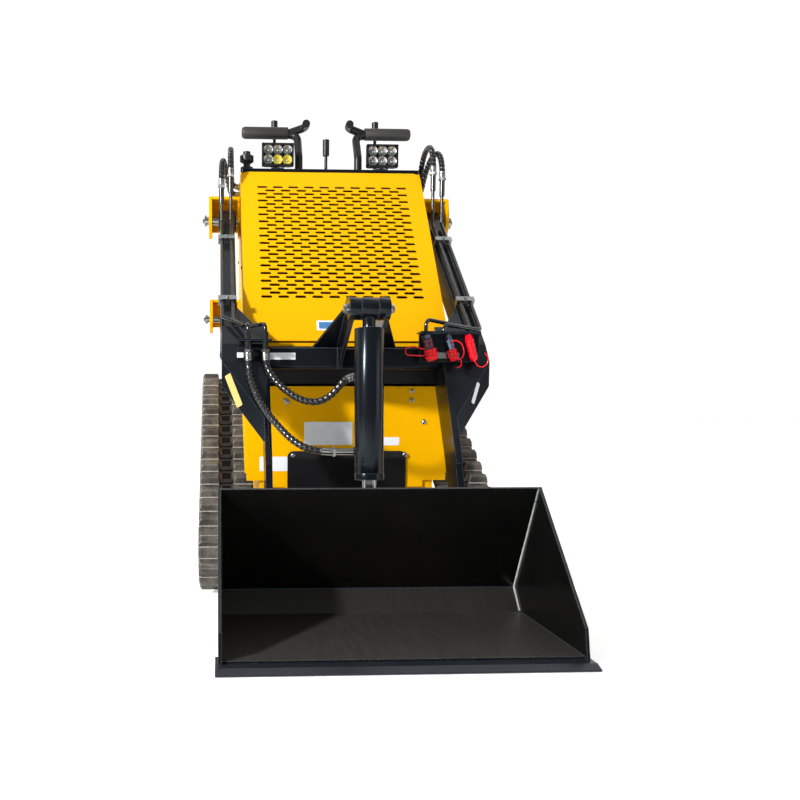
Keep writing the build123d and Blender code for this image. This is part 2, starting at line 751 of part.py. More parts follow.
clevis_gap = tilt_barrel / 2 + 2
clevis_plate = 12.0
tilt_eye_width = 48.0
tilt_boss = (tilt_eye_width / 2 + 1, 58.0)      # inner and outer face, from the middle plane
tilt_boss_radius = 31.5
with BuildPart() as clevis:
    clevis_outline = (
        (beam_front + beam_depth, beam_top + 0.3),
        (tilt_top_y + 60, tilt_top_z + 40),
        (tilt_top_y - 6, tilt_top_z + 33),
        (tilt_top_y - 28, tilt_top_z - 20),
        (beam_front - 0.3, beam_top - beam_height),
        (beam_front - 0.3, beam_top + 0.3),
    )
    gusset_foot = 76.0
    foot_y, foot_z = beam_front + 20, beam_top + 0.3
    apex_y, apex_z = tilt_top_y + 40, tilt_top_z + 14
    rise = hypot(foot_y - apex_y, apex_z - foot_z)
    for side, _ in sides:
        plate_x = side * (clevis_gap + clevis_plate / 2)
        extrude(side_face(clevis_outline, plate_x), amount=clevis_plate / 2, both=True)
        boss = disc((tilt_top_y, tilt_top_z), tilt_boss_radius, side * sum(tilt_boss) / 2)
        extrude(boss, amount=(tilt_boss[1] - tilt_boss[0]) / 2, both=True)
        gusset_plane = Plane(
            origin=(side * (clevis_gap + clevis_plate), lip_y + foot_y, foot_z),
            x_dir=(side, 0, 0),
            z_dir=Vector(side, 0, 0).cross(Vector(0, apex_y - foot_y, apex_z - foot_z)),
        )
        with BuildSketch(gusset_plane) as gusset:
            with BuildLine():
                Polyline((-2, 0), (gusset_foot, 0), (-2, rise), close=True)
            make_face()
        extrude(gusset.sketch, amount=-side * 8)
    pin_bore = disc((tilt_top_y, tilt_top_z), tilt_pin / 2, 0)
    extrude(pin_bore, amount=100, both=True, mode=Mode.SUBTRACT)
save(clevis, "tilt_clevis")

with BuildPart() as tilt_pins:
    extrude(disc((tilt_top_y, tilt_top_z), tilt_pin / 2 - 0.3, 0), amount=tilt_boss[1] + 4, both=True)
save(tilt_pins, "tilt_pin")

with BuildPart() as hinge_pins:
    for side, _ in sides:
        ear_face = side * (25 + ear_gap + 0.5)
        lug_pin = disc((tilt_lug_y, tilt_lug_z), tilt_pin / 2 - 0.3, ear_face)
        extrude(lug_pin, amount=side * (ear_thickness + 5))
        pin_half = leg_thickness / 2 + ear_gap + ear_thickness + 5
        extrude(disc((hinge_y, hinge_z), arm_pin / 2 - 0.3, side * leg_x), amount=pin_half, both=True)
save(hinge_pins, "hinge_pins")


# ---------------------------------------------------------------- cylinders
def cylinder_plane(base, tip, x):
    """Plane at the base eye, with its normal towards the rod's eye."""
    return Plane(
        origin=(x, lip_y + base[0], base[1]),
        x_dir=(1, 0, 0),
        z_dir=(0, tip[0] - base[0], tip[1] - base[1]),
    )


def make_barrel(base, tip, x, outer, rod, cap, end, eye_radius, eye_width, pin):
    """Cylinder barrel between its cap and its end, with its eye, neck and a bore for the rod."""
    axis = cylinder_plane(base, tip, x)
    with BuildPart() as barrel:
        with BuildSketch(axis) as neck:
            Circle(eye_width * 0.38)
        extrude(amount=cap + 1)
        with BuildSketch(axis.offset(cap)) as body:
            Circle(outer / 2)
        extrude(amount=end - cap)
        extrude(disc(base, eye_radius, x), amount=eye_width / 2, both=True)
        with BuildSketch(axis.offset(cap + 10)) as bore:
            Circle(rod / 2 + 0.5)
        extrude(amount=end, mode=Mode.SUBTRACT)
        extrude(disc(base, pin / 2 + 0.2, x), amount=eye_width, both=True, mode=Mode.SUBTRACT)
    return barrel.part


def make_rod(base, tip, x, rod, start, eye_radius, eye_width, pin_half, pin):
    """Cylinder rod from inside the barrel to its eye, with the pin in the eye."""
    reach = hypot(tip[0] - base[0], tip[1] - base[1])
    with BuildPart() as piece:
        with BuildSketch(cylinder_plane(base, tip, x).offset(start)) as section:
            Circle(rod / 2)
        extrude(amount=reach - start)
        extrude(disc(tip, eye_radius, x), amount=eye_width / 2, both=True)
        extrude(disc(tip, pin / 2, x), amount=pin_half, both=True)
    return piece.part


lift_base = (lift_base_y, lift_base_z)
lift_lug = (lift_lug_y, lift_lug_z)
tilt_top = (tilt_top_y, tilt_top_z)
tilt_lug = (tilt_lug_y, tilt_lug_z)
lift_closed = hypot(lift_base_y - lift_lug_y, lift_base_z - lift_lug_z)
tilt_closed = hypot(tilt_top_y - tilt_lug_y, tilt_top_z - tilt_lug_z)
lift_eye_width = arm_tube_width - 2 * cheek_thickness - 4
lift_cap = 30.0
tilt_cap = 56.0
rod_room = 64.0             # between the barrel's bore and the start of the rod
with BuildPart() as lift_barrels:
    for side, _ in sides:
        add(make_barrel(lift_base, lift_lug, side * arm_centre_x, lift_barrel, lift_rod,
                        lift_cap, lift_closed - 76, 30, 46, lift_pin))
save(lift_barrels, "lift_barrels")
with BuildPart() as lift_rods:
    for side, _ in sides:
        add(make_rod(lift_base, lift_lug, side * arm_centre_x, lift_rod, lift_cap + rod_room,
                     26, lift_eye_width, lift_eye_width / 2 + 1.5, lift_pin))
save(lift_rods, "lift_rods")

# Each port is a flat-faced boss on the tilt barrel with a fitting on it; the hoses end there.
low_port = (542.0, 463.0)
high_port = (630.0, 676.0)
low_port_face, low_fitting_face = -45.0, -95.0
high_port_face, high_fitting_face = 6.0, -14.0
with BuildPart() as tilt_barrel_part:
    add(make_barrel(tilt_top, tilt_lug, 0, tilt_barrel, tilt_rod,
                    tilt_cap, tilt_closed - 84, tilt_boss_radius, tilt_eye_width, tilt_pin))
    extrude(disc(low_port, 13, low_port_face), amount=tilt_rod / 2 - 5)
    with Locations((high_port_face + 13, lip_y + high_port[0] - 17, high_port[1])):
        Box(26, 60, 28)
save(tilt_barrel_part, "tilt_barrel")
with BuildPart() as ports:
    low_length = low_port_face - low_fitting_face - seat_gap
    extrude(disc(low_port, 9.5, low_port_face - seat_gap), amount=-low_length)
    high_length = high_port_face - high_fitting_face - seat_gap
    extrude(disc(high_port, 9.5, high_port_face - seat_gap), amount=-high_length)
save(ports, "tilt_fittings")
with BuildPart() as tilt_rod_part:
    add(make_rod(tilt_top, tilt_lug, 0, tilt_rod, tilt_cap + rod_room, 28, 46, 25, tilt_pin))
save(tilt_rod_part, "tilt_rod")

# ---------------------------------------------------------------- platform
with BuildPart() as platform:
    platform_length = overall_length - platform_hinge_y
    step_middle = lip_y + platform_hinge_y + platform_length / 2 + 10
    with Locations((0, step_middle, platform_z)):
        Box(platform_width, platform_length - 20, 6)
    for side, _ in sides:
        skirt_x = side * (platform_width / 2 - 3)
        with Locations((skirt_x, step_middle, platform_z - 12)):
            Box(6, platform_length - 20, 30)
        hinge_tab = disc((platform_hinge_y, platform_z), 14, side * (platform_width / 2 - 40))
        extrude(hinge_tab, amount=20, both=True)
        with Locations((side * (platform_width / 2 - 40), lip_y + platform_hinge_y + 15, platform_z)):
            Box(40, 30, 6)
    pin_hole = disc((platform_hinge_y, platform_z), 8, 0)
    extrude(pin_hole, amount=platform_width, both=True, mode=Mode.SUBTRACT)
save(platform, "platform")

with BuildPart() as platform_mount:
    for side, _ in sides:
        for step in (-26, 26):
            tab_x = side * (platform_width / 2 - 40) + step
            tab = (
                (body_rear_y + 0.3, platform_z - 30),
                (platform_hinge_y + 12, platform_z - 14),
                (platform_hinge_y + 12, platform_z + 12),
                (platform_hinge_y - 6, platform_z + 14),
                (body_rear_y + 0.3, platform_z + 30),
            )
            extrude(side_face(tab, tab_x), amount=4, both=True)
        pin_x = side * (platform_width / 2 - 40)
        extrude(disc((platform_hinge_y, platform_z), 7.5, pin_x), amount=34, both=True)
save(platform_mount, "platform_hinges")

# ---------------------------------------------------------------- operator's station
console_top = console_z + console_thickness
bar_tube = 30.0
grip_outer = 44.0
bar_x = 114.0
bar_end_x = 325.0
bar_base_y = 1485.0
bar_y = 1556.0
bar_z = 1646.0
curl_x = 84.0
curl_y = 1500.0
curl_rise = 20.0
post_lean = 6.0
post_drop = 12.0
post_reach = 66.0
grip_start_x = bar_x + 36
grip_round = 16.0
with BuildPart() as bars:
    for side, _ in sides:
        with BuildLine() as post_path:
            FilletPolyline(
                (side * bar_x, lip_y + bar_base_y, console_top + seat_gap),
                (side * bar_x, lip_y + bar_base_y, console_top + 60),
                (side * bar_x, lip_y + bar_y - post_lean, bar_z - post_drop),
                (side * (bar_x + post_reach), lip_y + bar_y, bar_z),
                radius=(34, 30),
            )
        with BuildSketch(Plane(post_path.line @ 0, z_dir=post_path.line % 0)) as post_section:
            Circle(bar_tube / 2)
        sweep(post_section.sketch, path=post_path.line)
        with BuildLine() as curl_path:
            FilletPolyline(
                (side * bar_end_x, lip_y + bar_y, bar_z),
                (side * (bar_x + 34), lip_y + bar_y, bar_z),
                (side * curl_x, lip_y + bar_y - 8, bar_z + curl_rise),
                (side * curl_x, lip_y + curl_y, bar_z + curl_rise),
                radius=20,
            )
        with BuildSketch(Plane(curl_path.line @ 0, z_dir=curl_path.line % 0)) as curl_section:
            Circle(bar_tube / 2)
        sweep(curl_section.sketch, path=curl_path.line)
        extrude(
            disc((bar_y, bar_z), grip_outer / 2, side * grip_start_x),
            amount=side * (bar_end_x + 6 - grip_start_x),
        )
        fillet(bars.edges().sort_by(Axis.X)[-1 if side > 0 else 0], grip_round)
save(bars, "reference_bars")

lamp_x, lamp_y, lamp_z = 198.0, 1450.0, 1529.0
lamp_width, lamp_depth, lamp_height = 120.0, 50.0, 83.0
with BuildPart() as lights:
    for side, _ in sides:
        with Locations((side * lamp_x, lip_y + lamp_y, lamp_z)):
            Box(lamp_width, lamp_depth, lamp_height)
        stalk = lamp_z - console_top - seat_gap
        with Locations((side * lamp_x, lip_y + lamp_y, console_top + seat_gap + stalk / 2)):
            Box(40, 24, stalk)
save(lights, "work_lights")

lever_table = (
    # x, y, top: the two travel levers stand behind the grips, the work lever between them
    (-200, 1602, 1706),
    (0, 1560, 1624),
    (200, 1602, 1706),
)
knob_height = 60.0
with BuildPart() as levers:
    for x, lever_y, top in lever_table:
        stem_low = console_top + seat_gap
        with Locations((x, lip_y + lever_y, (stem_low + top) / 2)):
            Cylinder(6, top - stem_low)
        with Locations((x, lip_y + lever_y, top - knob_height / 2)):
            Cylinder(13, knob_height)
save(levers, "control_levers")

cap_x = -314.0
cap_profile = (
    # radius, height: flange, neck, knurled body and breather on top
    (24, 0), (24, 8), (13, 12), (13, 22), (26, 30), (26, 50), (14, 56), (14, 66), (0, 66),
)
with BuildPart() as cap:
    cap_foot = (cap_x, lip_y + lamp_y, console_top + seat_gap)
    with BuildSketch(Plane(origin=cap_foot, x_dir=(1, 0, 0), z_dir=(0, -1, 0))):
        with BuildLine():
            Polyline((0, 0), *cap_profile, close=True)
        make_face()
    revolve(axis=Axis((cap_x, lip_y + lamp_y, 0), (0, 0, 1)))
save(cap, "filler_cap")

# ---------------------------------------------------------------- hydraulic pipes and hoses
pipe_radius = 6.0
fitting_radius = 9.5
tilt_hose = 17.0
arm_hose = 15.0
pipe_out = half_depth + knee_sheet + 8          # pipe centre over the middle of the arm tube
pipe_bend = 18.0
riser_y = 1360.0
riser_d = (arm_pivot_y - pipe_out * sin(arm_angle) - riser_y) / cos(arm_angle)
outer_pipe_x = arm_centre_x + 22
inner_pipe_x = arm_centre_x - 12
bulkhead_z = knee_corner[1] + 11.9
bulkhead_front = knee_front[0] - 43
fitting_y = knee_front[0] - 30
fitting_high = bulkhead_z + 24
fitting_low = bulkhead_z - 28
coupler_top = knee_corner[1] + 40
clamp_places = (225.0, 606.0)                   # from the arm's pivot
fitting_nut = 56.0
pipe_high = knee_corner[1] + 60
pipe_table = (
    # side, pipe x, end x, end z, riser top, way down the arm, then the turning points before the
    # end, each as steps outwards, back and up from the fitting at pipe_high
    (1, outer_pipe_x, 262.0, coupler_top + seat_gap, 1422.0, 765.0, ((0, 0, 0),)),
    (1, inner_pipe_x, 207.0, coupler_top + seat_gap, 1441.0, 755.0, ((0, 0, 16),)),
    (-1, outer_pipe_x, 333.0, fitting_high - 6, 1386.0, 700.0, ((12, 81, 3), (0, 0, 0))),
    (-1, inner_pipe_x, 281.0, fitting_high - 6, 1425.0, 715.0, ((59, 96, 0), (14, 52, 3), (0, 0, 0))),
)
riser_foot = along_arm(riser_d, pipe_out)
for side, name in sides:
    with BuildPart() as pipes:
        for row_side, pipe_x, end_x, end_z, riser_z, leave, turns in pipe_table:
            if row_side != side:
                continue
            path = [
                (side * pipe_x, lip_y + riser_y, riser_z - fitting_nut + 6),
                (side * pipe_x, lip_y + riser_y, riser_foot[1]),
                (side * pipe_x, *at(*along_arm(leave, pipe_out))),
            ]
            for outwards, back, up in turns:
                path.append((side * (end_x + outwards), lip_y + fitting_y + back, pipe_high + up))
            path.append((side * end_x, lip_y + fitting_y, end_z))
            with BuildLine() as pipe_path:
                FilletPolyline(*path, radius=pipe_bend)
            with BuildSketch(Plane(pipe_path.line @ 0, z_dir=pipe_path.line % 0)) as pipe_section:
                Circle(pipe_radius)
            sweep(pipe_section.sketch, path=pipe_path.line)
            with Locations((side * pipe_x, lip_y + riser_y, riser_z - fitting_nut / 2)):
                Cylinder(fitting_radius, fitting_nut)
            if side < 0:
                with Locations((side * end_x, lip_y + fitting_y, (fitting_low + fitting_high) / 2)):
                    Cylinder(fitting_radius, fitting_high - fitting_low)
    save(pipes, f"arm_pipes_{name}")

clamp_length = 22.0
with BuildPart() as clamps:
    for side, _ in sides:
        for place in clamp_places:
            block_low = half_depth + seat_gap
            block_high = pipe_out + pipe_radius + 5
            block = (
                along_arm(place - clamp_length / 2, block_low),
                along_arm(place + clamp_length / 2, block_low),
                along_arm(place + clamp_length / 2, block_high),
                along_arm(place - clamp_length / 2, block_high),
            )
            clamp_middle = side * (outer_pipe_x + inner_pipe_x) / 2
            clamp_half = (outer_pipe_x - inner_pipe_x) / 2 + 13
            extrude(side_face(block, clamp_middle), amount=clamp_half, both=True)
            for pipe_x in (outer_pipe_x, inner_pipe_x):
                bore_plane = Plane(
                    origin=(side * pipe_x, *at(*along_arm(place - clamp_length, pipe_out))),
                    x_dir=(1, 0, 0),
                    z_dir=(0, -cos(arm_angle), -sin(arm_angle)),
                )
                with BuildSketch(bore_plane):
                    Circle(pipe_radius + 0.2)
                extrude(amount=2 * clamp_length, mode=Mode.SUBTRACT)
save(clamps, "pipe_clamps")

bracket_inner_x = 190.0
bracket_edge_x = arm_inner_x + 12
plate_y = knee_front[0] - 18.4
coupler_low = knee_front[1] + 2
with BuildPart() as coupler_bracket:
    bracket_span = bracket_edge_x - bracket_inner_x
    bracket_mid = (bracket_edge_x + bracket_inner_x) / 2
    with Locations((bracket_mid, lip_y + plate_y + 5, (coupler_low + coupler_top) / 2)):
        Box(bracket_span, 10, coupler_top - coupler_low)
    with Locations((bracket_mid, lip_y + plate_y + 7, coupler_top - 3)):
        Box(bracket_span, 56, 6)
    # bulkhead plate for the two tilt hoses, on the other knee
    bulkhead_inner, bulkhead_outer = leg_x - leg_thickness / 2 - 6, arm_inner_x - 3
    bulkhead_length = knee_corner[0] - 6 - bulkhead_front
    with Locations((
        -(bulkhead_inner + bulkhead_outer) / 2,
        lip_y + bulkhead_front + bulkhead_length / 2,
        bulkhead_z,
    )):
        Box(bulkhead_outer - bulkhead_inner, bulkhead_length, 6)
    for _, _, end_x, *_ in pipe_table[2:]:
        with Locations((-end_x, lip_y + fitting_y, bulkhead_z)):
            Cylinder(fitting_radius + 0.3, 20, mode=Mode.SUBTRACT)
save(coupler_bracket, "coupler_bracket")

coupler_table = (
    # x at the top, x at the bottom, body radius, cap radius
    (206.0, 223.0, 16.0, 20.0),
    (274.0, 291.0, 13.0, 15.0),
    (336.0, 353.0, 13.0, 13.0),
)
coupler_drop = 63.0
coupler_length = 46.0
cap_length = 36.0
coupler_high_z = coupler_top - 10
with BuildPart() as couplers:
    for high_x, low_x, radius, cap_radius in coupler_table:
        axis = Plane(
            origin=(high_x, lip_y + plate_y - seat_gap - radius, coupler_high_z),
            z_dir=(low_x - high_x, 0, -coupler_drop),
        )
        with BuildSketch(axis):
            Circle(radius)
        extrude(amount=coupler_length)
save(couplers, "quick_couplers")
with BuildPart() as caps:
    for high_x, low_x, radius, cap_radius in coupler_table:
        axis = Plane(
            origin=(high_x, lip_y + plate_y - seat_gap - cap_radius, coupler_high_z),
            z_dir=(low_x - high_x, 0, -coupler_drop),
        )
        with BuildSketch(axis.offset(coupler_length + seat_gap)):
            Circle(cap_radius)
        extrude(amount=cap_length)
save(caps, "coupler_caps")


def hose(points, diameter, name):
    """Tube along straight runs joined by arcs as large as the runs allow."""
    spots = [Vector(*point) for point in points]
    runs = [after - before for before, after in zip(spots, spots[1:])]
    radii = []
    for before, after in zip(runs, runs[1:]):
        half_turn = radians(before.get_angle(after)) / 2
        radii.append(0.45 * min(before.length, after.length) / sin(half_turn) * cos(half_turn))
    with BuildLine() as path:
        FilletPolyline(*spots, radius=radii)
    with BuildPart() as tube:
        with BuildSketch(Plane(path.line @ 0, z_dir=path.line % 0)) as section:
            Circle(diameter / 2)
        sweep(section.sketch, path=path.line)
    length = sum(edge.length for edge in path.edges())
    share = tube.part.volume / (length * pi * (diameter / 2) ** 2)
    bends = [round(radius) for radius in radii]
    print(name, "length", round(length), "radii", bends, "volume", round(share, 4))
    save(tube, name)


# Each tilt hose runs from the bulkhead's fitting to a fitting on the tilt barrel.
tilt_hose_table = {
    # shares of the way across, forward and down to the end
    "tilt_hose_low": (
        333.0, low_fitting_face, low_port,
        (0, 0, 0.182), (0.046, 0.162, 0.357), (0.147, 0.384, 0.552),
        (0.315, 0.634, 0.741), (0.525, 0.851, 0.919), (0.761, 1, 1),
    ),
    "tilt_hose_high": (
        281.0, high_fitting_face, high_port,
        (0, 0, 0.49), (0.064, 0.148, 0.95), (0.169, 0.357, 1.345), (0.326, 0.566, 1.738),
        (0.491, 0.741, 1.905), (0.633, 0.858, 1.81), (0.753, 0.942, 1.476), (0.858, 1, 1),
    ),
}
for name, (start_x, end_x, port, *shares) in tilt_hose_table.items():
    start = Vector(-start_x, lip_y + fitting_y, fitting_low)
    end = Vector(end_x, *at(*port))
    way = end - start
    middle = [
        start + Vector(way.X * across, way.Y * forward, way.Z * down)
        for across, forward, down in shares
    ]
    hose([start, *middle, end], tilt_hose, name)

# Each arm hose loops from a riser's fitting back and down to the body's side wall.
wall_x = body_half_width + seat_gap
arm_hose_table = (
    # name, pipe x, height of the end, then steps inwards, back and up from the riser's top
    ("outer", outer_pipe_x, hood_top_z - 55,
     (0, 0, 64), (5, 50, 119), (14, 120, 114), (26, 164, 64), (39, 180, None)),
    ("inner", inner_pipe_x, hood_top_z - 20,
     (0, 0, 70), (1, 54, 123), (3, 132, 117), (5, 180, 61), (6, 196, None)),
)
riser_tops = {(row[0], row[1]): row[4] for row in pipe_table}
for side, side_name in sides:
    for name, pipe_x, end_z, *steps in arm_hose_table:
        riser_top = riser_tops[(side, pipe_x)]
        points = [(side * pipe_x, lip_y + riser_y, riser_top)]
        for inwards, back, up in steps:
            z = end_z if up is None else riser_top + up
            points.append((side * (pipe_x - inwards), lip_y + riser_y + back, z))
        points.append((side * wall_x, points[-1][1], end_z))
        hose(points, arm_hose, f"arm_hose_{side_name}_{name}")
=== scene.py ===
"""Looks of a compact stand-on track loader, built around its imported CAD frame. Metres, +Z up."""

import json
import math

import bmesh
import bpy
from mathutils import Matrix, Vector
from mathutils.bvhtree import BVHTree
from mathutils.geometry import convex_hull_2d


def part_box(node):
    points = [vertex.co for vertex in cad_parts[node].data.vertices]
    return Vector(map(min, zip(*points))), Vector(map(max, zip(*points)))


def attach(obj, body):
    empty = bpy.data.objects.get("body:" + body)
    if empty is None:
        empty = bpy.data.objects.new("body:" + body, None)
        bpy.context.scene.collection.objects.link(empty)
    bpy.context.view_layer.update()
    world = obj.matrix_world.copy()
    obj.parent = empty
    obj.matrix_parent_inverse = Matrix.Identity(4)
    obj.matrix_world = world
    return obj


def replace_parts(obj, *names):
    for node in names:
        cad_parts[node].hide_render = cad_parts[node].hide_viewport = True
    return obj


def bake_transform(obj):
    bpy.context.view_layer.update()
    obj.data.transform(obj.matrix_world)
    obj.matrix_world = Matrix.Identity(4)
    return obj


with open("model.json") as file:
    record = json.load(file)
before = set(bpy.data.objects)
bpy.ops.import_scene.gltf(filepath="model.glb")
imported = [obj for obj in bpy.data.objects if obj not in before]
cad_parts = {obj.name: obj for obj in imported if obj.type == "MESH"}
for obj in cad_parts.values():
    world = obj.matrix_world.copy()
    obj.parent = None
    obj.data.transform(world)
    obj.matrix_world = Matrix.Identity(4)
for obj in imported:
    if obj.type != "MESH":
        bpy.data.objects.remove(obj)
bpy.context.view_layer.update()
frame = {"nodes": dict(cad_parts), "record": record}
LIP_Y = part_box("cutting_edge")[0].y
SIDES = ((1, "left"), (-1, "right"))


def place(x, s, z):
    """Row-frame point from millimetres: across, behind the bucket's lip and over the ground."""
    return Vector((x / 1000, LIP_Y + s / 1000, z / 1000))


# ---------------------------------------------------------------- camera, stage and lights
def make_camera():
    """The photo's camera, solved from the bucket, the hood's slots and the lamps."""
    data = bpy.data.cameras.new("camera")
    data.sensor_width = 36
    data.lens = 36.87
    data.shift_x, data.shift_y = 0.1785, 0.1003
    camera = bpy.data.objects.new("camera", data)
    bpy.context.scene.collection.objects.link(camera)
    yaw, pitch = 0.0444, 0.0938
    camera.location = place(-416.6, -1743.8, 598.7)
    camera.rotation_euler = (math.pi / 2 - pitch, 0, -yaw)
    bpy.context.scene.camera = camera


def make_light(name, position, target, size, power, colour=(1, 1, 1)):
    """Soft box that looks at a target; size in metres, power in watts."""
    data = bpy.data.lights.new(name, "AREA")
    data.shape = "RECTANGLE"
    data.size, data.size_y = size
    data.energy = power
    data.color = colour
    light = bpy.data.objects.new(name, data)
    bpy.context.scene.collection.objects.link(light)
    light.location = position
    heading = Vector(target) - Vector(position)
    light.rotation_euler = heading.to_track_quat("-Z", "Y").to_euler()


def make_world():
    """Even studio light, with a white wall behind the machine."""
    world = bpy.data.worlds.new("studio")
    world.use_nodes = True
    tree = world.node_tree
    background = tree.nodes["Background"]
    heading = tree.nodes.new("ShaderNodeTexCoord")
    split = tree.nodes.new("ShaderNodeSeparateXYZ")
    ramp = tree.nodes.new("ShaderNodeMapRange")
    ramp.interpolation_type = "SMOOTHSTEP"
    for key, value in (("From Min", -0.1), ("From Max", 0.55), ("To Min", 0.24), ("To Max", 1.05)):
        ramp.inputs[key].default_value = value
    tree.links.new(heading.outputs["Generated"], split.inputs[0])
    tree.links.new(split.outputs[1], ramp.inputs["Value"])
    tree.links.new(ramp.outputs["Result"], background.inputs["Strength"])
    background.inputs["Color"].default_value = (1, 1, 1, 1)
    bpy.context.scene.world = world


make_camera()
make_world()
make_light("key", (-5.4, -4.3, 3.7), (0, -0.2, 0.7), (0.5, 0.5), 900, (1.0, 0.98, 0.95))
make_light("top", (0.5, 0.5, 6.0), (0, 0, 0), (10, 10), 120)
make_light("fill", (5.0, -3.0, 2.0), (0, 0, 0.7), (3, 3), 50)
bpy.context.scene.view_settings.view_transform = "Standard"


# ---------------------------------------------------------------- materials
TRACK_X = (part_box("track_left")[0].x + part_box("track_left")[1].x) / 2
CHANNEL = 0.048  # width between the two rows of lugs


class Nodes:
    """A material's node tree with short ways to add and join nodes."""

    def __init__(self, name, roughness=0.5, metallic=0.0):
        self.material = bpy.data.materials.new(name)
        self.material.use_nodes = True
        self.tree = self.material.node_tree
        self.shader = self.tree.nodes["Principled BSDF"]
        self.shader.inputs["Roughness"].default_value = roughness
        self.shader.inputs["Metallic"].default_value = metallic
        self.place = self.add("ShaderNodeTexCoord").outputs["Object"]

    def add(self, kind, **settings):
        node = self.tree.nodes.new(kind)
        for key, value in settings.items():
            if key in node.inputs:
                node.inputs[key].default_value = value
            else:
                setattr(node, key, value)
        return node

    def join(self, output, node, socket):
        self.tree.links.new(output, node.inputs[socket])

    def noise(self, scale, detail=4.0, roughness=0.55, stretch=(1, 1, 1)):
        mapping = self.add("ShaderNodeMapping")
        mapping.inputs["Scale"].default_value = stretch
        self.join(self.place, mapping, "Vector")
        noise = self.add("ShaderNodeTexNoise", Scale=scale, Detail=detail, Roughness=roughness)
        self.join(mapping.outputs[0], noise, "Vector")
        return noise.outputs["Fac"]

    def remap(self, value, low, high, to_low, to_high):
        node = self.add("ShaderNodeMapRange")
        limits = zip(("From Min", "From Max", "To Min", "To Max"), (low, high, to_low, to_high))
        for key, number in limits:
            node.inputs[key].default_value = number
        self.join(value, node, "Value")
        return node.outputs["Result"]

    def mix(self, factor, first, second):
        """Colour between two; the mix node has its colours at 6 and 7 and its result at 2."""
        node = self.add("ShaderNodeMix", data_type="RGBA")
        for socket, value in ((6, first), (7, second)):
            if isinstance(value, tuple):
                node.inputs[socket].default_value = (*value, 1.0)
            else:
                self.join(value, node, socket)
        self.join(factor, node, 0)
        return node.outputs[2]

    def maths(self, operation, first, second):
        node = self.add("ShaderNodeMath", operation=operation)
        for socket, value in ((0, first), (1, second)):
            if isinstance(value, (int, float)):
                node.inputs[socket].default_value = value
            else:
                self.join(value, node, socket)
        return node.outputs[0]

    def bump(self, height, strength, distance):
        node = self.add("ShaderNodeBump", Strength=strength, Distance=distance)
        self.join(height, node, "Height")
        self.join(node.outputs[0], self.shader, "Normal")

    def part_of(self, source, axis):
        split = self.add("ShaderNodeSeparateXYZ")
        self.join(source, split, 0)
        return split.outputs[axis]

    def upward(self):
        """1 on faces that look up, 0 on the rest, for dust."""
        normal = self.add("ShaderNodeNewGeometry").outputs["Normal"]
        return self.remap(self.part_of(normal, 2), 0.35, 0.95, 0.0, 1.0)

    def edges(self, radius):
        """1 along outer edges, 0 on flat faces, for wear and a painted highlight along the corners."""
        geometry = self.add("ShaderNodeNewGeometry")
        rounded = self.add("ShaderNodeBevel", Radius=radius)
        rounded.samples = 4
        turn = self.add("ShaderNodeVectorMath", operation="DOT_PRODUCT")
        self.join(geometry.outputs["Normal"], turn, 0)
        self.join(rounded.outputs[0], turn, 1)
        return self.remap(turn.outputs["Value"], 0.97, 0.85, 0.0, 1.0)


def paint(name, colour, dusty, roughness, dust=0.25, coat=0.2, specular=0.5, edge=None, tint=(1, 1, 1)):
    """Sprayed paint with orange peel, dust on faces that look up and fine wear in its gloss; an edge colour
    adds wear and a painted highlight along edges.
    """
    n = Nodes(name, roughness)
    cloud = n.noise(7, 6, 0.6)
    grit = n.noise(240, 3, 0.7)
    amount = n.maths("MULTIPLY", n.remap(cloud, 0.3, 0.75, dust * 0.35, dust), n.upward())
    amount = n.maths("ADD", amount, n.remap(grit, 0.66, 0.8, 0.0, dust * 0.4))
    tone = n.mix(amount, colour, dusty)
    if edge:
        # edge colour: wear plus a painted highlight along the edges
        wear_and_highlight = n.maths("MULTIPLY", n.edges(0.0025), n.remap(grit, 0.35, 0.6, 0.25, 0.9))
        tone = n.mix(wear_and_highlight, tone, edge)
    n.join(tone, n.shader, "Base Color")
    n.join(n.remap(cloud, 0.3, 0.8, roughness * 0.8, roughness * 1.35), n.shader, "Roughness")
    n.shader.inputs["Specular IOR Level"].default_value = specular
    n.shader.inputs["Specular Tint"].default_value = (*tint, 1)
    n.shader.inputs["Coat Weight"].default_value = coat
    n.shader.inputs["Coat Roughness"].default_value = 0.06
    n.bump(n.noise(420, 2, 0.5), 0.02, 0.0006)
    return n.material


def bucket_paint():
    """Black enamel, rubbed grey along the floor by what slides over it, worn along its edges with a painted
    blue highlight.
    """
    n = Nodes("bucket_enamel", 0.3)
    streaks = n.noise(22, 6, 0.7, (6, 0.5, 1))
    cloud = n.noise(5, 5, 0.6)
    rubbed = n.maths("MULTIPLY", n.upward(), n.remap(streaks, 0.3, 0.7, 0.55, 1.0))
    tone = n.mix(n.remap(cloud, 0.35, 0.7, 0.0, 1.0), (0.0022, 0.0024, 0.0024), (0.0045, 0.0045, 0.004))
    tone = n.mix(rubbed, tone, (0.034, 0.032, 0.027))
    # edges: wear plus a painted blue highlight
    wear_and_highlight = n.maths("MULTIPLY", n.edges(0.003), n.remap(n.noise(160, 3), 0.35, 0.6, 0.2, 0.8))
    n.join(n.mix(wear_and_highlight, tone, (0.10, 0.13, 0.17)), n.shader, "Base Color")
    n.join(n.remap(n.upward(), 0, 1, 0.22, 0.5), n.shader, "Roughness")
    n.shader.inputs["Specular IOR Level"].default_value = 0.28
    n.bump(n.noise(380, 2, 0.5), 0.03, 0.0006)
    return n.material


def metal(name, colour, roughness, dark=0.75):
    """Bare or plated metal, clouded with a darker shade of itself."""
    n = Nodes(name, roughness, 1.0)
    cloud = n.noise(30, 5, 0.6)
    shade = tuple(c * dark for c in colour)
    n.join(n.mix(n.remap(cloud, 0.35, 0.7, 0.0, 1.0), colour, shade), n.shader, "Base Color")
    n.join(n.remap(cloud, 0.3, 0.75, roughness * 0.75, roughness * 1.4), n.shader, "Roughness")
    n.bump(n.noise(240, 3, 0.6), 0.04, 0.0008)
    return n.material


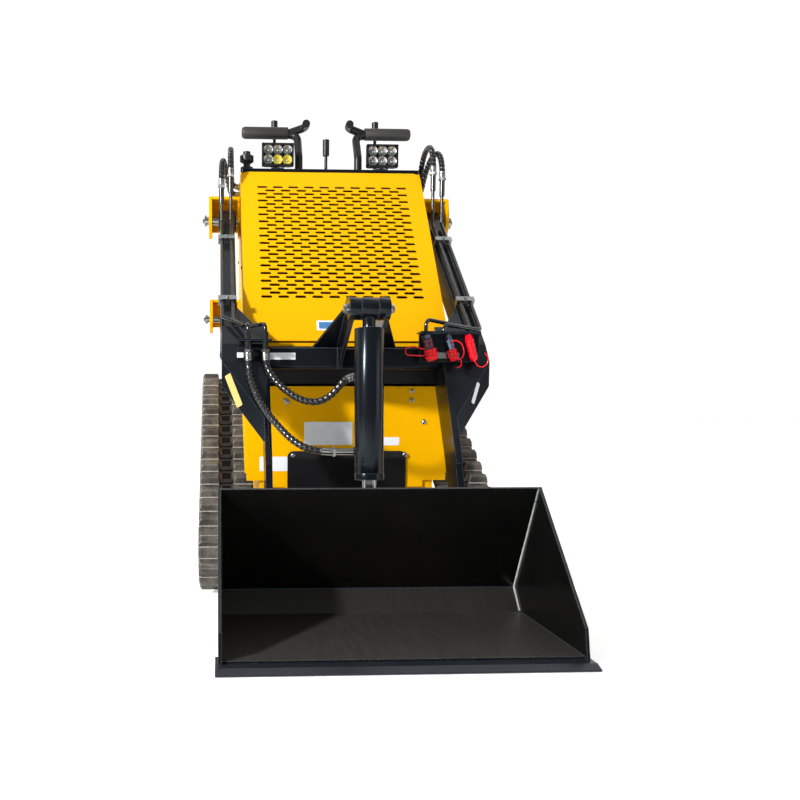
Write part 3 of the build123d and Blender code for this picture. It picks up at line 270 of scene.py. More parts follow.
def track_rubber(name, colour, dusty):
    """Dusty grey-brown lugs with light edges, wear plus a painted highlight, and a clean black channel
    between the two rows.
    """
    n = Nodes(name, 0.7)
    cloud = n.noise(16, 6, 0.65)
    grit = n.noise(150, 4, 0.7)
    across = n.maths("ABSOLUTE", n.part_of(n.place, 0), 0)
    off_centre = n.maths("ABSOLUTE", n.maths("SUBTRACT", across, TRACK_X), 0)
    row = n.remap(off_centre, CHANNEL / 2 - 0.003, CHANNEL / 2 + 0.006, 0.12, 1.0)
    amount = n.maths("MULTIPLY", n.remap(cloud, 0.38, 0.62, 0.05, 1.0), n.remap(grit, 0.3, 0.65, 0.25, 1.0))
    # light lug edges: wear plus a painted highlight
    wear_and_highlight = n.maths("MULTIPLY", n.edges(0.005), n.remap(grit, 0.3, 0.6, 0.4, 1.0))
    tone = n.mix(n.maths("MULTIPLY", amount, row), colour, dusty)
    tone = n.mix(n.maths("MULTIPLY", wear_and_highlight, row), tone, (0.62, 0.58, 0.52))
    n.join(tone, n.shader, "Base Color")
    n.join(n.remap(grit, 0.3, 0.7, 0.45, 0.85), n.shader, "Roughness")
    n.bump(grit, 0.35, 0.0015)
    return n.material


def plain(name, colour, roughness, metallic=0.0, scale=60, grain=0.04, specular=0.5, shade=0.7):
    """Plastic, rubber or a printed plate, clouded with a darker shade of itself."""
    n = Nodes(name, roughness, metallic)
    cloud = n.noise(scale, 4)
    darker = tuple(c * shade for c in colour)
    n.join(n.mix(n.remap(cloud, 0.4, 0.75, 0.0, 0.6), colour, darker), n.shader, "Base Color")
    n.shader.inputs["Specular IOR Level"].default_value = specular
    n.bump(n.noise(300, 2), grain, 0.0005)
    return n.material


BLUE_WEAR_AND_HIGHLIGHT = (0.11, 0.14, 0.19)  # black paint worn along an edge, with a painted blue highlight
yellow = paint(
    "yellow_paint", (0.72, 0.36, 0.0), (0.6, 0.32, 0.03), 0.42,
    dust=0.06, coat=0.0, specular=0.1, tint=(1.0, 0.8, 0.3),
)
black = paint(
    "black_paint", (0.0034, 0.0042, 0.0058), (0.04, 0.04, 0.04), 0.2,
    dust=0.3, coat=0.0, specular=0.24, edge=BLUE_WEAR_AND_HIGHLIGHT, tint=(0.72, 0.86, 1.0),
)
# painted shade: a darker, flatter copy of the black paint for the guard plate and the crossmember
shaded_black = paint("shaded_black", (0.004, 0.004, 0.005), (0.02, 0.02, 0.02), 0.4, specular=0.2)
frame_black = paint("frame_black", (0.008, 0.008, 0.009), (0.14, 0.12, 0.10), 0.45, dust=0.5, specular=0.3)
rubber = track_rubber("track_rubber", (0.018, 0.016, 0.014), (0.14, 0.128, 0.11))
zinc = metal("zinc_steel", (0.34, 0.35, 0.35), 0.24)
blue_steel = metal("coupler_steel", (0.16, 0.19, 0.26), 0.3)
pipe_zinc = metal("pipe_zinc", (0.075, 0.08, 0.08), 0.2)
chrome = metal("chrome_rod", (0.5, 0.53, 0.56), 0.08, dark=0.95)
# its edge colour is wear plus a painted blue highlight along the cutting edge
edge_steel = paint(
    "edge_paint", (0.007, 0.009, 0.013), (0.03, 0.034, 0.042), 0.3,
    dust=0.3, coat=0.0, specular=0.2, edge=(0.07, 0.085, 0.105),
)
plastic = plain("black_plastic", (0.010, 0.010, 0.011), 0.38, specular=0.3)
foam = plain("grip_foam", (0.022, 0.021, 0.020), 0.62, scale=220, grain=0.5)
hose_rubber = plain("hose_guard", (0.008, 0.008, 0.009), 0.2, scale=90)
engine_grey = plain("engine_grey", (0.05, 0.05, 0.055), 0.6)
red = plain("red_rubber", (0.75, 0.002, 0.012), 0.28, specular=0.3)
dark_red = plain("dark_red_sleeve", (0.09, 0.006, 0.018), 0.3)
lamp_black = plain("lamp_housing", (0.010, 0.010, 0.011), 0.34, specular=0.3)
reflector = metal("lamp_reflector", (0.36, 0.38, 0.40), 0.3, dark=0.6)
amber = plain("amber_reflector", (0.46, 0.39, 0.04), 0.25, shade=0.7)
led = plain("led_chip", (0.5, 0.5, 0.38), 0.3)
white_plate = plain("white_plate", (0.68, 0.71, 0.75), 0.35, scale=30, specular=0.3, shade=0.9)
yellow_plate = plain("yellow_plate", (0.46, 0.35, 0.11), 0.35, scale=30, specular=0.3, shade=0.9)
blue_plate = plain("blue_plate", (0.04, 0.16, 0.38), 0.35, scale=30, shade=0.9)
lit_weld_steel = plain("weld_bead", (0.6, 0.62, 0.63), 0.3, 0.4, scale=120, grain=0.8, shade=0.12)
# near-black matt sheet: painted shade behind the hood's slots and in the track's windows
shade_sheet = plain("shade_sheet_black", (0.004, 0.004, 0.004), 0.9, specular=0.1)
bucket_enamel = bucket_paint()

MATERIAL_OF_SLOT = {
    "yellow_paint": yellow,
    "black_paint": black,
    "frame_black": frame_black,
    "track_rubber": rubber,
    "zinc_steel": zinc,
    "chrome_rod": chrome,
    "bare_steel": edge_steel,
    "black_plastic": plastic,
    "lamp": lamp_black,
    "engine_grey": engine_grey,
    "red_cap": red,
    "hose_black": hose_rubber,
}
MATERIAL_OF_NODE = {
    "bucket_shell": bucket_enamel,
    # the guard plate and the crossmember get the painted-shade copy of the black paint
    "guard_plate": shaded_black,
    "front_crossmember": shaded_black,
    "arm_pipes_left": pipe_zinc,
    "arm_pipes_right": pipe_zinc,
}
SLOT_OF_NODE = {part["node"]: part["material_slot"] for part in frame["record"]["subparts"]}
for name, slot in SLOT_OF_NODE.items():
    node = frame["nodes"][name]
    node.data.materials.clear()
    node.data.materials.append(MATERIAL_OF_NODE.get(name, MATERIAL_OF_SLOT[slot]))


def make_stage():
    """Pale floor that the machine stands on."""
    bpy.ops.mesh.primitive_plane_add(size=60, location=(0, 0, 0))
    floor = bpy.context.object
    floor.name = "floor"
    pale = Nodes("floor_pale", 0.7)
    pale.join(pale.mix(pale.noise(2.0), (0.93, 0.93, 0.93), (0.9, 0.9, 0.9)), pale.shader, "Base Color")
    pale.shader.inputs["Emission Color"].default_value = (1, 1, 1, 1)
    pale.shader.inputs["Emission Strength"].default_value = 0.45
    floor.data.materials.append(pale.material)


make_stage()


# ---------------------------------------------------------------- edges of the CAD pieces
def soften(node, width):
    """Merges the imported corners and rounds the hard edges, so that they catch the light."""
    weld = node.modifiers.new("weld", "WELD")
    weld.merge_threshold = 0.00002
    bevel = node.modifiers.new("edge", "BEVEL")
    bevel.width = width
    bevel.segments = 2
    bevel.limit_method = "ANGLE"
    bevel.angle_limit = math.radians(40)
    bevel.harden_normals = True
    bevel.use_clamp_overlap = True


EDGE_WIDTHS = {
    # width of the rounded edge in metres: CAD nodes
    0.0008: ("cutting_edge", "platform_hinges", "front_panel", "guard_plate", "rear_cover", "pipe_clamps"),
    0.0012: (
        "bucket_shell", "attach_plate", "coupler_bracket", "tilt_clevis", "tilt_barrel", "lift_barrels",
    ),
    0.0015: ("knee_left", "knee_right", "lift_arm_left", "lift_arm_right", "crossbeam", "arm_brackets"),
    0.002: (
        "console", "dash_panel", "platform", "front_crossmember", "track_frame_left", "track_frame_right",
    ),
    0.003: ("chassis_frame",),
}
for edge_width, names in EDGE_WIDTHS.items():
    for name in names:
        soften(frame["nodes"][name], edge_width)


# ---------------------------------------------------------------- making pieces
surfaces = {}  # search trees of the CAD nodes that were asked for


def seat(node, start, heading):
    """Where a line meets a CAD node, and the way its face looks there."""
    if node not in surfaces:
        data = frame["nodes"][node].data
        corners = [vertex.co for vertex in data.vertices]
        surfaces[node] = BVHTree.FromPolygons(corners, [face.vertices for face in data.polygons])
    heading = Vector(heading)
    point, normal, _, _ = surfaces[node].ray_cast(start, heading)
    if point is None:
        raise ValueError(f"{node} isn't there at {start}")
    if normal.dot(heading) > 0:
        normal.negate()
    return point, normal


def turn_to(axis):
    """Rotation that takes +Z to an axis."""
    return Vector(axis).to_track_quat("Z", "X").to_matrix()


class Shape:
    """Gathers the faces of one piece, in the row frame."""

    def __init__(self):
        self.mesh = bmesh.new()

    def skin(self, loops, closed=False):
        """Faces over loops of points that have the same count, with end caps."""
        rows = [[self.mesh.verts.new(point) for point in loop] for loop in loops]
        count = len(rows[0])
        pairs = list(zip(rows, rows[1:]))
        if closed:
            pairs.append((rows[-1], rows[0]))
        for first, second in pairs:
            for i in range(count):
                j = (i + 1) % count
                self.mesh.faces.new((first[i], first[j], second[j], second[i]))
        if not closed:
            self.mesh.faces.new(rows[0][::-1])
            self.mesh.faces.new(rows[-1])

    def turned(self, foot, axis, profile, segments=20):
        """Turned form from (radius, height) pairs in millimetres along axis."""
        turn = turn_to(axis)
        loops = []
        for radius, height in profile:
            loop = []
            for i in range(segments):
                angle = 2 * math.pi * i / segments
                spot = Vector((radius * math.cos(angle), radius * math.sin(angle), height))
                loop.append(foot + turn @ spot / 1000)
            loops.append(loop)
        self.skin(loops)

    def slab(self, centre, across, up, size, corner=0.0):
        """Flat piece of size (width, height, depth) in millimetres, standing on its centre."""
        across = Vector(across).normalized()
        out = across.cross(Vector(up)).normalized()
        up = out.cross(across)
        width, height, depth = size
        outline = []
        for x, y, start in ((1, -1, -90), (1, 1, 0), (-1, 1, 90), (-1, -1, 180)):
            middle = (x * (width / 2 - corner), y * (height / 2 - corner))
            for step in range(4 if corner else 1):
                angle = math.radians(start + 30 * step)
                outline.append((middle[0] + math.cos(angle) * corner, middle[1] + math.sin(angle) * corner))
        loops = []
        for level in (0, depth):
            loops.append([centre + (across * u + up * v + out * level) / 1000 for u, v in outline])
        self.skin(loops)

    def tube(self, line, radius, segments=10):
        """Round bar along points; radius is millimetres, or a function of distance and angle."""
        loops = []
        side = None
        gone = 0.0
        for index, point in enumerate(line):
            before = line[max(index - 1, 0)]
            after = line[min(index + 1, len(line) - 1)]
            gone += (point - before).length if index else 0.0
            heading = (after - before).normalized()
            if side is None:
                side = heading.orthogonal().normalized()
            side = (side - heading * side.dot(heading)).normalized()
            other = heading.cross(side)
            loop = []
            for i in range(segments):
                angle = 2 * math.pi * i / segments
                reach = radius(gone * 1000, angle) if callable(radius) else radius
                loop.append(point + (side * math.cos(angle) + other * math.sin(angle)) * reach / 1000)
            loops.append(loop)
        self.skin(loops)

    def done(self, name, body, material, slot, edge=0.0):
        """Makes the object; edge rounds its hard edges by that many metres."""
        bmesh.ops.recalc_face_normals(self.mesh, faces=self.mesh.faces)
        data = bpy.data.meshes.new(name)
        self.mesh.to_mesh(data)
        self.mesh.free()
        data.materials.append(material)
        data.shade_smooth()
        data.set_sharp_from_angle(angle=math.radians(38))
        piece = bpy.data.objects.new(name, data)
        bpy.context.scene.collection.objects.link(piece)
        if edge:
            soften(piece, edge)
        if body:
            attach(piece, body)
        return piece


def scaled(profile, radius):
    """Turned profile from (share of the radius, height in millimetres) pairs."""
    return [(radius * share, height) for share, height in profile]


def bolt(shape, foot, axis, size):
    """Hexagon head on a washer; size is the thread in millimetres."""
    shape.turned(foot, axis, [(1.15 * size, 0), (1.15 * size, 0.16 * size), (1.05 * size, 0.2 * size)], 20)
    head = foot + Vector(axis).normalized() * 0.2 * size / 1000
    shape.turned(head, axis, [(0.92 * size, 0), (0.92 * size, 0.5 * size), (0.72 * size, 0.64 * size)], 6)


def bead(shape, points, radius, ripple=0.22):
    """Weld along a line, laid in overlapping ripples."""
    line = []
    for before, after in zip(points, points[1:]):
        count = max(2, round((after - before).length * 1000 / (radius * 0.8)))
        line += [before.lerp(after, i / count) for i in range(count)]
    line.append(points[-1])
    shape.tube(line, lambda gone, angle: radius * (1 - ripple * (round(gone / (radius * 0.8)) % 2)), 7)


# ---------------------------------------------------------------- hoses
def route(points):
    """Points along the smooth spline that a hose follows."""
    curve = bpy.data.curves.new("route", "CURVE")
    curve.dimensions = "3D"
    curve.resolution_u = 40
    spline = curve.splines.new("NURBS")
    spline.points.add(len(points) - 1)
    for knot, point in zip(spline.points, points):
        knot.co = (*point, 1)
    spline.order_u = 3
    spline.use_endpoint_u = True
    holder = bpy.data.objects.new("route", curve)
    sampled = bpy.data.meshes.new_from_object(holder)
    line = [vertex.co.copy() for vertex in sampled.vertices]
    bpy.data.objects.remove(holder)
    bpy.data.meshes.remove(sampled)
    return line


NUT = ((1.15, 0.5), (1.22, 1.5), (1.22, 8), (1.0, 9))  # share of the radius, and height in millimetres


def ferrule(name, line, length, radius, body):
    """Crimped steel end around the first part of a hose's line, with its hexagon nut."""
    spots, gone = [line[0]], 0.0
    for before, after in zip(line, line[1:]):
        gone += (after - before).length * 1000
        if gone > length:
            break
        spots.append(after)
    shape = Shape()

    def crimp(along, angle):
        return radius * (0.93 if along < 9 else 1.0 if (along // 4) % 2 else 0.95)

    shape.tube(spots, crimp, 20)
    heading = (spots[1] - spots[0]).normalized()
    shape.turned(line[0], heading, scaled(NUT, radius), 6)
    shape.done(name, body, zinc, "zinc_steel")


def hose(name, points, diameter, bodies, elbow=40):
    """Hose in its spiral guard between two bodies; it replaces its CAD tube.

    diameter and elbow are in millimetres.
    """
    spots = [place(*point) for point in points]
    line = route(spots)
    pitch = diameter * 0.75
    steel_radius = diameter / 2 + 0.6

    def guard(gone, angle):
        groove = max(0.0, math.cos(2 * math.pi * gone / pitch - angle)) ** 3
        return diameter / 2 * (1 - 0.26 * groove)

    shape = Shape()
    shape.tube(line, guard, 14)
    piece = shape.done(name + "_guarded", None, hose_rubber, "hose_black")
    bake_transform(piece)
    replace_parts(piece, name)
    ferrule(name + "_ferrule", line, 34, steel_radius, bodies[0])
    ferrule(name + "_elbow", line[::-1], elbow, steel_radius, bodies[1])


hose(
    "tilt_hose_low",
    [
        (-333, 749.7, 760), (-333, 749.7, 706), (-322.1, 716, 654), (-298, 669.9, 596.1),
        (-258, 618, 539.9), (-208.1, 572.9, 487.1), (-151.9, 542, 463), (-95, 542, 463),
    ],
    21, ("lift_arm", "tilt_barrel"),
)
hose(
    "tilt_hose_high",
    [
        (-281, 749.7, 760), (-281, 749.7, 718.8), (-263.9, 732, 680.2), (-235.9, 707, 647),
        (-194, 681.9, 614), (-149.9, 661, 600), (-112, 647, 608), (-79.9, 636.9, 636),
        (-51.9, 630, 676), (-14, 630, 676),
    ],
    21, ("lift_arm", "tilt_barrel"),
)
PIPE_END_S, WALL_X = 1360, 338.3  # the arm pipes' ends and the outer face of the body's wall
HOSE_ARCS = {
    # row of pipes: x, steps of the arc inwards, back and up from the pipe's end, last step and its height
    "outer": (410, ((0, 0, 64), (5, 50, 119), (14, 120, 114), (26, 164, 64)), (39, 180), 1405),
    "inner": (376, ((0, 0, 70), (1, 54, 123), (3, 132, 117), (5, 180, 61)), (6, 196), 1440),
}
ARM_HOSES = (
    # side, its name, row, height of the pipe's end, length in metres
    (1, "left", "outer", 1422, 0.377),
    (1, "left", "inner", 1441, 0.375),
    (-1, "right", "outer", 1386, 0.344),
    (-1, "right", "inner", 1425, 0.361),
)
for side, side_name, row, top, length in ARM_HOSES:
    pipe_x, steps, (last_inwards, last_back), end_z = HOSE_ARCS[row]
    points = [(side * pipe_x, PIPE_END_S, top)]
    points += [(side * (pipe_x - inwards), PIPE_END_S + back, top + up) for inwards, back, up in steps]
    points.append((side * (pipe_x - last_inwards), PIPE_END_S + last_back, end_z))
    points.append((side * WALL_X, PIPE_END_S + last_back, end_z))
    hose(f"arm_hose_{side_name}_{row}", points, 22, ("lift_arm", "chassis"), elbow=20)


# ---------------------------------------------------------------- tracks
FRONT_IDLER, REAR_IDLER, SPROCKET = (865, 130), (1700, 130), (1610, 567)
TRACK_WHEELS = ((*FRONT_IDLER, 130), (*SPROCKET, 150), (*REAR_IDLER, 130))  # s, z, radius over the lugs
WHEEL_STEPS = 144  # points around each wheel
LUG_HEIGHT = 22
LUG_COUNT = 40
SPROCKET_REACH = 150  # guide lugs are left off this near to its centre


def belt_line(inset):
    """Closed line around the track's three wheels, that far inside the lug tips."""
    spots = []
    for s, z, radius in TRACK_WHEELS:
        reach = radius - inset
        for i in range(WHEEL_STEPS):
            angle = 2 * math.pi * i / WHEEL_STEPS
            spots.append(Vector((s + reach * math.cos(angle), z + reach * math.sin(angle))))
    return [spots[i] for i in convex_hull_2d(spots)]


def walk(line, distance):
    """Point and heading at a distance along a closed line."""
    for before, after in zip(line, line[1:] + line[:1]):
        step = after - before
        if distance <= step.length:
            return before + step * (distance / step.length), step.normalized()
        distance -= step.length
    return line[0], (line[1] - line[0]).normalized()


def lug_phase(line):
    """Distance along the line to a lug, found from the tips that stand on the ground."""
    corners = [vertex.co for vertex in frame["nodes"]["track_left"].data.vertices]
    tips = [(corner.y - LIP_Y) * 1000 for corner in corners if corner.z < 0.0005]
    first_lug = [tip for tip in tips if tip < min(tips) + 40]
    foot = (min(first_lug) + max(first_lug)) / 2
    gone = 0.0
    for before, after in zip(line, line[1:] + line[:1]):
        step = after - before
        if abs(before.y - LUG_HEIGHT) < 1 and abs(after.y - LUG_HEIGHT) < 1 and step.length > 50:
            return gone + abs(foot - before.x)
        gone += step.length
    raise ValueError("the belt has no flat run on the ground")


BELT_THICKNESS = 20
BELT_SECTION = (
    # millimetres across the belt and inwards from its outer face
    (-90, 7), (-83, 0), (-24, 0), (-21, 5), (21, 5), (24, 0), (83, 0), (90, 7),
    (90, BELT_THICKNESS), (-90, BELT_THICKNESS),
)
LUG_ROW_X = 57
LUG_LEVELS = (
    # height, half length along the belt, reach towards the channel and towards the outer edge
    (-3, 18, 33, 33), (2, 15.5, 32.5, 32), (16, 11, 31, 29), (22, 8, 28, 24),
)
GUIDE_LEVELS = ((-1, 17, 17), (6, 13, 14), (9, 9, 10))  # height, half length and half width
WINDOW_SIZE, CORE_SIZE = (30, 34, 1.8), (46, 20, 8)


def belt_spot(side, spot, out, across, inwards):
    return place(side * TRACK_X * 1000 + across, spot.x - out.x * inwards, spot.y - out.y * inwards)


def outwards(heading):
    return Vector((heading.y, -heading.x))


def add_block(belt, side, spot, heading, levels):
    """Tapered block on the belt; each level is (across from, across to, half length, inwards)."""
    out = outwards(heading)
    loops = []
    for start, end, half, inwards in levels:
        corners = ((start, -half), (end, -half), (end, half), (start, half))
        loops.append([
            belt_spot(side, spot + heading * along, out, across, inwards) for across, along in corners
        ])
    belt.skin(loops)


def track_belt(side, name):
    """Belt with its two rows of lugs, the guide lugs inside and the steel cores in the channel."""
    line = belt_line(LUG_HEIGHT)
    runs = [after - before for before, after in zip(line, line[1:] + line[:1])]
    total = sum(run.length for run in runs)
    headings = [run.normalized() for run in runs]
    phase = lug_phase(line)
    belt, window_shades, cores = Shape(), Shape(), Shape()
    loops = []
    for spot, before, after in zip(line, headings[-1:] + headings[:-1], headings):
        out = outwards((before + after).normalized())
        loops.append([belt_spot(side, spot, out, *corner) for corner in BELT_SECTION])
    belt.skin(loops, closed=True)
    for index in range(LUG_COUNT):
        spot, heading = walk(line, (phase + index * total / LUG_COUNT) % total)
        for row in (-1, 1):
            levels = [
                (row * (LUG_ROW_X - inner), row * (LUG_ROW_X + outer), half, -height)
                for height, half, inner, outer in LUG_LEVELS
            ]
            add_block(belt, side, spot, heading, levels)
        if (spot - Vector(SPROCKET)).length > SPROCKET_REACH:
            levels = [(-reach, reach, half, BELT_THICKNESS + height) for height, half, reach in GUIDE_LEVELS]
            add_block(belt, side, spot, heading, levels)
        for offset, shape, size in ((0.5, window_shades, WINDOW_SIZE), (0.0, cores, CORE_SIZE)):
            spot, heading = walk(line, (phase + (index + offset) * total / LUG_COUNT) % total)
            out = outwards(heading)
            across, along = Vector((1, 0, 0)), Vector((0, heading.x, heading.y))
            if across.cross(along).dot(Vector((0, out.x, out.y))) < 0:
                across = -across
            shape.slab(belt_spot(side, spot, out, 0, 6), across, along, size, 3)
    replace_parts(belt.done(f"track_belt_{name}", "chassis", rubber, "track_rubber", 0.0022), f"track_{name}")
    # near-black pads on the channel floor: painted shade that stands for the windows' holes
    window_shades.done(f"track_window_shades_{name}", "chassis", shade_sheet, "track_rubber")
    cores.done(f"track_cores_{name}", "chassis", plastic, "track_rubber", 0.0015)


for side, name in SIDES:
    track_belt(side, name)


# ---------------------------------------------------------------- undercarriage
ROLLER_Z = 95
BOLT_RING, BOLT_COUNT = 36, 6  # radius and number of the sprocket's bolts
ROLLER_PITCH = (REAR_IDLER[0] - FRONT_IDLER[0]) / 4
ROLLERS = [(FRONT_IDLER[0] + ROLLER_PITCH * index, ROLLER_Z) for index in (1, 2, 3)]


def outer_face(side, node):
    """How far a CAD node reaches to its side, in millimetres."""
    return abs(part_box(node)[1 if side > 0 else 0].x) * 1000


def wheel_hubs(side, name):
    """End caps on the wheels' axles and a ring of bolts on the sprocket."""
    shape = Shape()
    axis = (side, 0, 0)
    frame_face = outer_face(side, f"track_frame_{name}")
    for s, z in (FRONT_IDLER, *ROLLERS, REAR_IDLER):
        foot = place(side * (frame_face - 0.5), s, z)
        shape.turned(foot, axis, [(20, 0), (20, 6), (17, 8)], 24)
        bolt(shape, foot + Vector((side * 0.007, 0, 0)), axis, 11)
    sprocket_face = outer_face(side, f"drive_sprocket_{name}")
    s, z = SPROCKET
    for index in range(BOLT_COUNT):
        angle = 2 * math.pi * index / BOLT_COUNT
        foot = place(side * sprocket_face, s + BOLT_RING * math.cos(angle), z + BOLT_RING * math.sin(angle))
        bolt(shape, foot, axis, 8)
    shape.turned(place(side * sprocket_face, s, z), axis, [(18, 0), (18, 3), (14, 5)], 24)
    shape.done(f"axle_bolts_{name}", "chassis", zinc, "frame_black")


for side, name in SIDES:
    wheel_hubs(side, name)


# ---------------------------------------------------------------- operator's station
LAMP_X, LAMP_BOTTOM, LAMP_HALF = 198, 1487.5, 60
RIM, RIM_DEPTH = 7, 19
CUP = ((4, 0), (5, 1), (10, 5), (16.5, 13), (17.5, 13.5), (17.5, 0))
CHIP = ((3.6, 0.5), (3.6, 3), (2.4, 4.6), (0.8, 5.2))


def work_light(side, name, amber_spots):
    """Six-lamp work light on its bracket; returns its finned housing."""
    low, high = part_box("work_lights")
    front, back, top = ((low.y - LIP_Y) * 1000, (high.y - LIP_Y) * 1000, high.z * 1000)
    centre_x, middle_z, height = side * LAMP_X, (LAMP_BOTTOM + top) / 2, top - LAMP_BOTTOM
    across, up, ahead = Vector((1, 0, 0)), Vector((0, 0, 1)), (0, -1, 0)
    housing = Shape()
    housing.slab(place(centre_x, back - 14, middle_z), across, up, (2 * LAMP_HALF - 6, height - 6, 18), 8)
    for index in range(9):
        fin_x = centre_x + (index - 4) * 12
        housing.slab(place(fin_x, back, middle_z), across, up, (3, height - 16, 16))
    for rim_z in (LAMP_BOTTOM + RIM / 2, top - RIM / 2):
        rim = place(centre_x, front + RIM_DEPTH, rim_z)
        housing.slab(rim, across, up, (2 * LAMP_HALF, RIM, RIM_DEPTH), 2)
    for end in (-1, 1):
        rim = place(centre_x + end * (LAMP_HALF - RIM / 2), front + RIM_DEPTH, middle_z)
        housing.slab(rim, across, up, (RIM, height, RIM_DEPTH), 2)
    for arm in (-1, 1):
        housing.slab(place(centre_x + arm * 22, front + 34, 1482), across, up, (3, 14, 18))
    housing.slab(place(centre_x, 1462, 1481.5), across, up, (46, 4, 24))
    body = housing.done(f"light_housing_{name}", "chassis", lamp_black, "lamp", 0.0008)
    cups, ambers, chips = Shape(), Shape(), Shape()
    for column in range(3):
        for row in range(2):
            foot = place(centre_x + (column - 1) * 36, front + 18.4, middle_z + (row - 0.5) * 36)
            cup = ambers if (column, row) in amber_spots else cups
            cup.turned(foot, ahead, CUP, 24)
            chips.turned(foot, ahead, CHIP, 12)
    cups.done(f"light_cups_{name}", "chassis", reflector, "lamp")
    chips.done(f"light_chips_{name}", "chassis", led, "lamp")
    if amber_spots:
        ambers.done(f"light_amber_{name}", "chassis", amber, "lamp")
    else:
        ambers.mesh.free()
    bolts = Shape()
    bolt(bolts, place(centre_x, 1450, 1485.5), (0, 0, 1), 7)
    for arm in (-1, 1):
        bolt(bolts, place(centre_x + arm * (LAMP_HALF - 1), 1452, middle_z), (arm, 0, 0), 1.2)
    bolts.done(f"light_bolts_{name}", "chassis", zinc, "lamp")
    return body


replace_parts(work_light(1, "left", ()), "work_lights")
work_light(-1, "right", ((1, 0), (2, 0)))

SLEEVE = ((17, -1), (20.5, 0), (22.6, 3), (22.6, 166), (21.2, 173), (17.5, 178.5), (10, 180.8))
BOOT = ((22, 0), (22, 3), (17, 6), (18, 9), (14, 13), (15, 16), (11, 20), (11.5, 23), (7, 28))

for side, name in SIDES:
    sleeve = Shape()
    sleeve.turned(place(side * 150, 1556, 1646), (side, 0, 0), SLEEVE, 28)
    sleeve.done(f"grip_sleeve_{name}", "chassis", foam, "black_plastic")

boots = Shape()
for x, s in ((-200, 1602), (0, 1560), (200, 1602)):
    boots.turned(place(x, s, 1476.6), (0, 0, 1), BOOT, 24)
boots.done("lever_boots", "chassis", plastic, "black_plastic")


# ---------------------------------------------------------------- hydraulic couplers
BULKHEAD_S, STRAP_S = 761.3, 728  # front face of the bulkhead, and the straps' plane
BULKHEAD_GAP = 0.3  # between the bulkhead and the couplers
COUPLER_DROP = 63.0  # height between a coupler's two values of x
CAP_SEAT = 0.0463  # metres from a coupler's foot to its cap's foot
COUPLERS = (
    # x at the top and at the low end, radius of the coupler and of its cap, material
    (206.0, 223.0, 16.0, 20.0, dark_red),
    (274.0, 291.0, 13.0, 15.0, blue_steel),
    (336.0, 353.0, 13.0, 13.0, red),
)
# the turned profiles below are shares of the radius and heights in millimetres
COUPLER_HEX = ((0.7, 0), (0.7, 4), (0.9, 5), (0.9, 14), (0.75, 15))
COUPLER_SLEEVE = (
    (0.8, 14), (1, 16), (1, 24), (0.88, 25), (0.88, 28), (1, 29), (1, 37),
    (0.9, 38), (0.9, 41), (0.98, 42), (0.98, 46),
)
COUPLER_NUT = ((0.8, 1), (1.02, 2), (1.02, 13), (0.9, 14.5))
DUST_CAP = (
    (0.8, 0), (1, 1), (1, 6), (0.9, 7), (0.9, 10), (1, 11), (1, 15), (0.9, 16),
    (0.9, 19), (1, 20), (1, 24), (0.86, 26), (0.8, 32), (0.6, 35), (0.3, 36),
)
STRAPS = (
    # x and z along the straps that are moulded to the caps
    ((199, 760), (166, 769), (148, 767), (141, 760), (141, 748), (148, 743), (166, 742), (199, 741)),
    (
        (281, 783), (289, 787), (297, 786), (307, 781), (314, 772),
        (319, 756), (318, 745), (314, 736), (302, 729), (286, 742),
    ),
    ((290, 732), (298, 735), (305, 733), (311, 728), (312, 719), (310, 711), (305, 707), (298, 706)),
    (
        (347, 752), (349, 734), (354, 722), (363, 711), (371, 708),
        (380, 709), (389, 716), (394, 726), (393, 738), (383, 750),
    ),
)


def couplers():
    """Flat-faced couplers in their dust caps, on the axes of their CAD pieces."""
    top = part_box("coupler_bracket")[1].z * 1000 - 10
    caps, bodies = Shape(), []
    for index, (high_x, low_x, radius, cap_radius, material) in enumerate(COUPLERS):
        axis = Vector((low_x - high_x, 0, -COUPLER_DROP)).normalized()
        foot = place(high_x, BULKHEAD_S - BULKHEAD_GAP - radius, top)
        sleeve = Shape()
        sleeve.turned(foot, axis, scaled(COUPLER_HEX, radius), 6)
        sleeve.turned(foot, axis, scaled(COUPLER_SLEEVE, radius), 28)
        bodies.append(sleeve.done(f"coupler_{index}", "lift_arm", material, "zinc_steel"))
        if index == 0:
            nut = Shape()
            nut.turned(foot, axis, scaled(COUPLER_NUT, radius), 6)
            nut.done("coupler_nut", "lift_arm", blue_steel, "zinc_steel")
        cap_foot = place(high_x, BULKHEAD_S - BULKHEAD_GAP - cap_radius, top) + axis * CAP_SEAT
        caps.turned(cap_foot, axis, scaled(DUST_CAP, cap_radius), 28)
    for line in STRAPS:
        caps.tube([place(x, STRAP_S, z) for x, z in line], 1.7, 8)
    bar = Shape()
    bar.slab(place(262, BULKHEAD_S, 744), (1, 0, 0), (0, 0, 1), (104, 18, 0.25), 2)
    bar.done("coupler_plate", "lift_arm", zinc, "black_paint")
    moulded = caps.done("dust_caps", "lift_arm", red, "red_cap")
    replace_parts(moulded, "coupler_caps")
    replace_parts(bodies[0], "quick_couplers")


couplers()


# ---------------------------------------------------------------- fasteners and welds
def fastener(shape, node, start, heading, size):
    """Bolt on the face of a CAD node where a line meets it."""
    point, out = seat(node, start, heading)
    bolt(shape, point, out, size)


TO_REAR, TO_FRONT = Vector((0, 1, 0)), Vector((0, -1, 0))
TILT_EYE, TILT_TOP = (530, 300), (572, 862)  # pins of the tilt cylinder, s and z
LIFT_EYE, LIFT_FOOT = (950, 735), (1560, 930)  # pins of the lift cylinders
BUCKET_HINGE = (625, 112)
# where the lines start that look for a face: ahead of the body, behind it, beside it and above it
AHEAD_S, BEHIND_S, OUTSIDE_X, ABOVE_Z = 900, 2000, 700, 1600

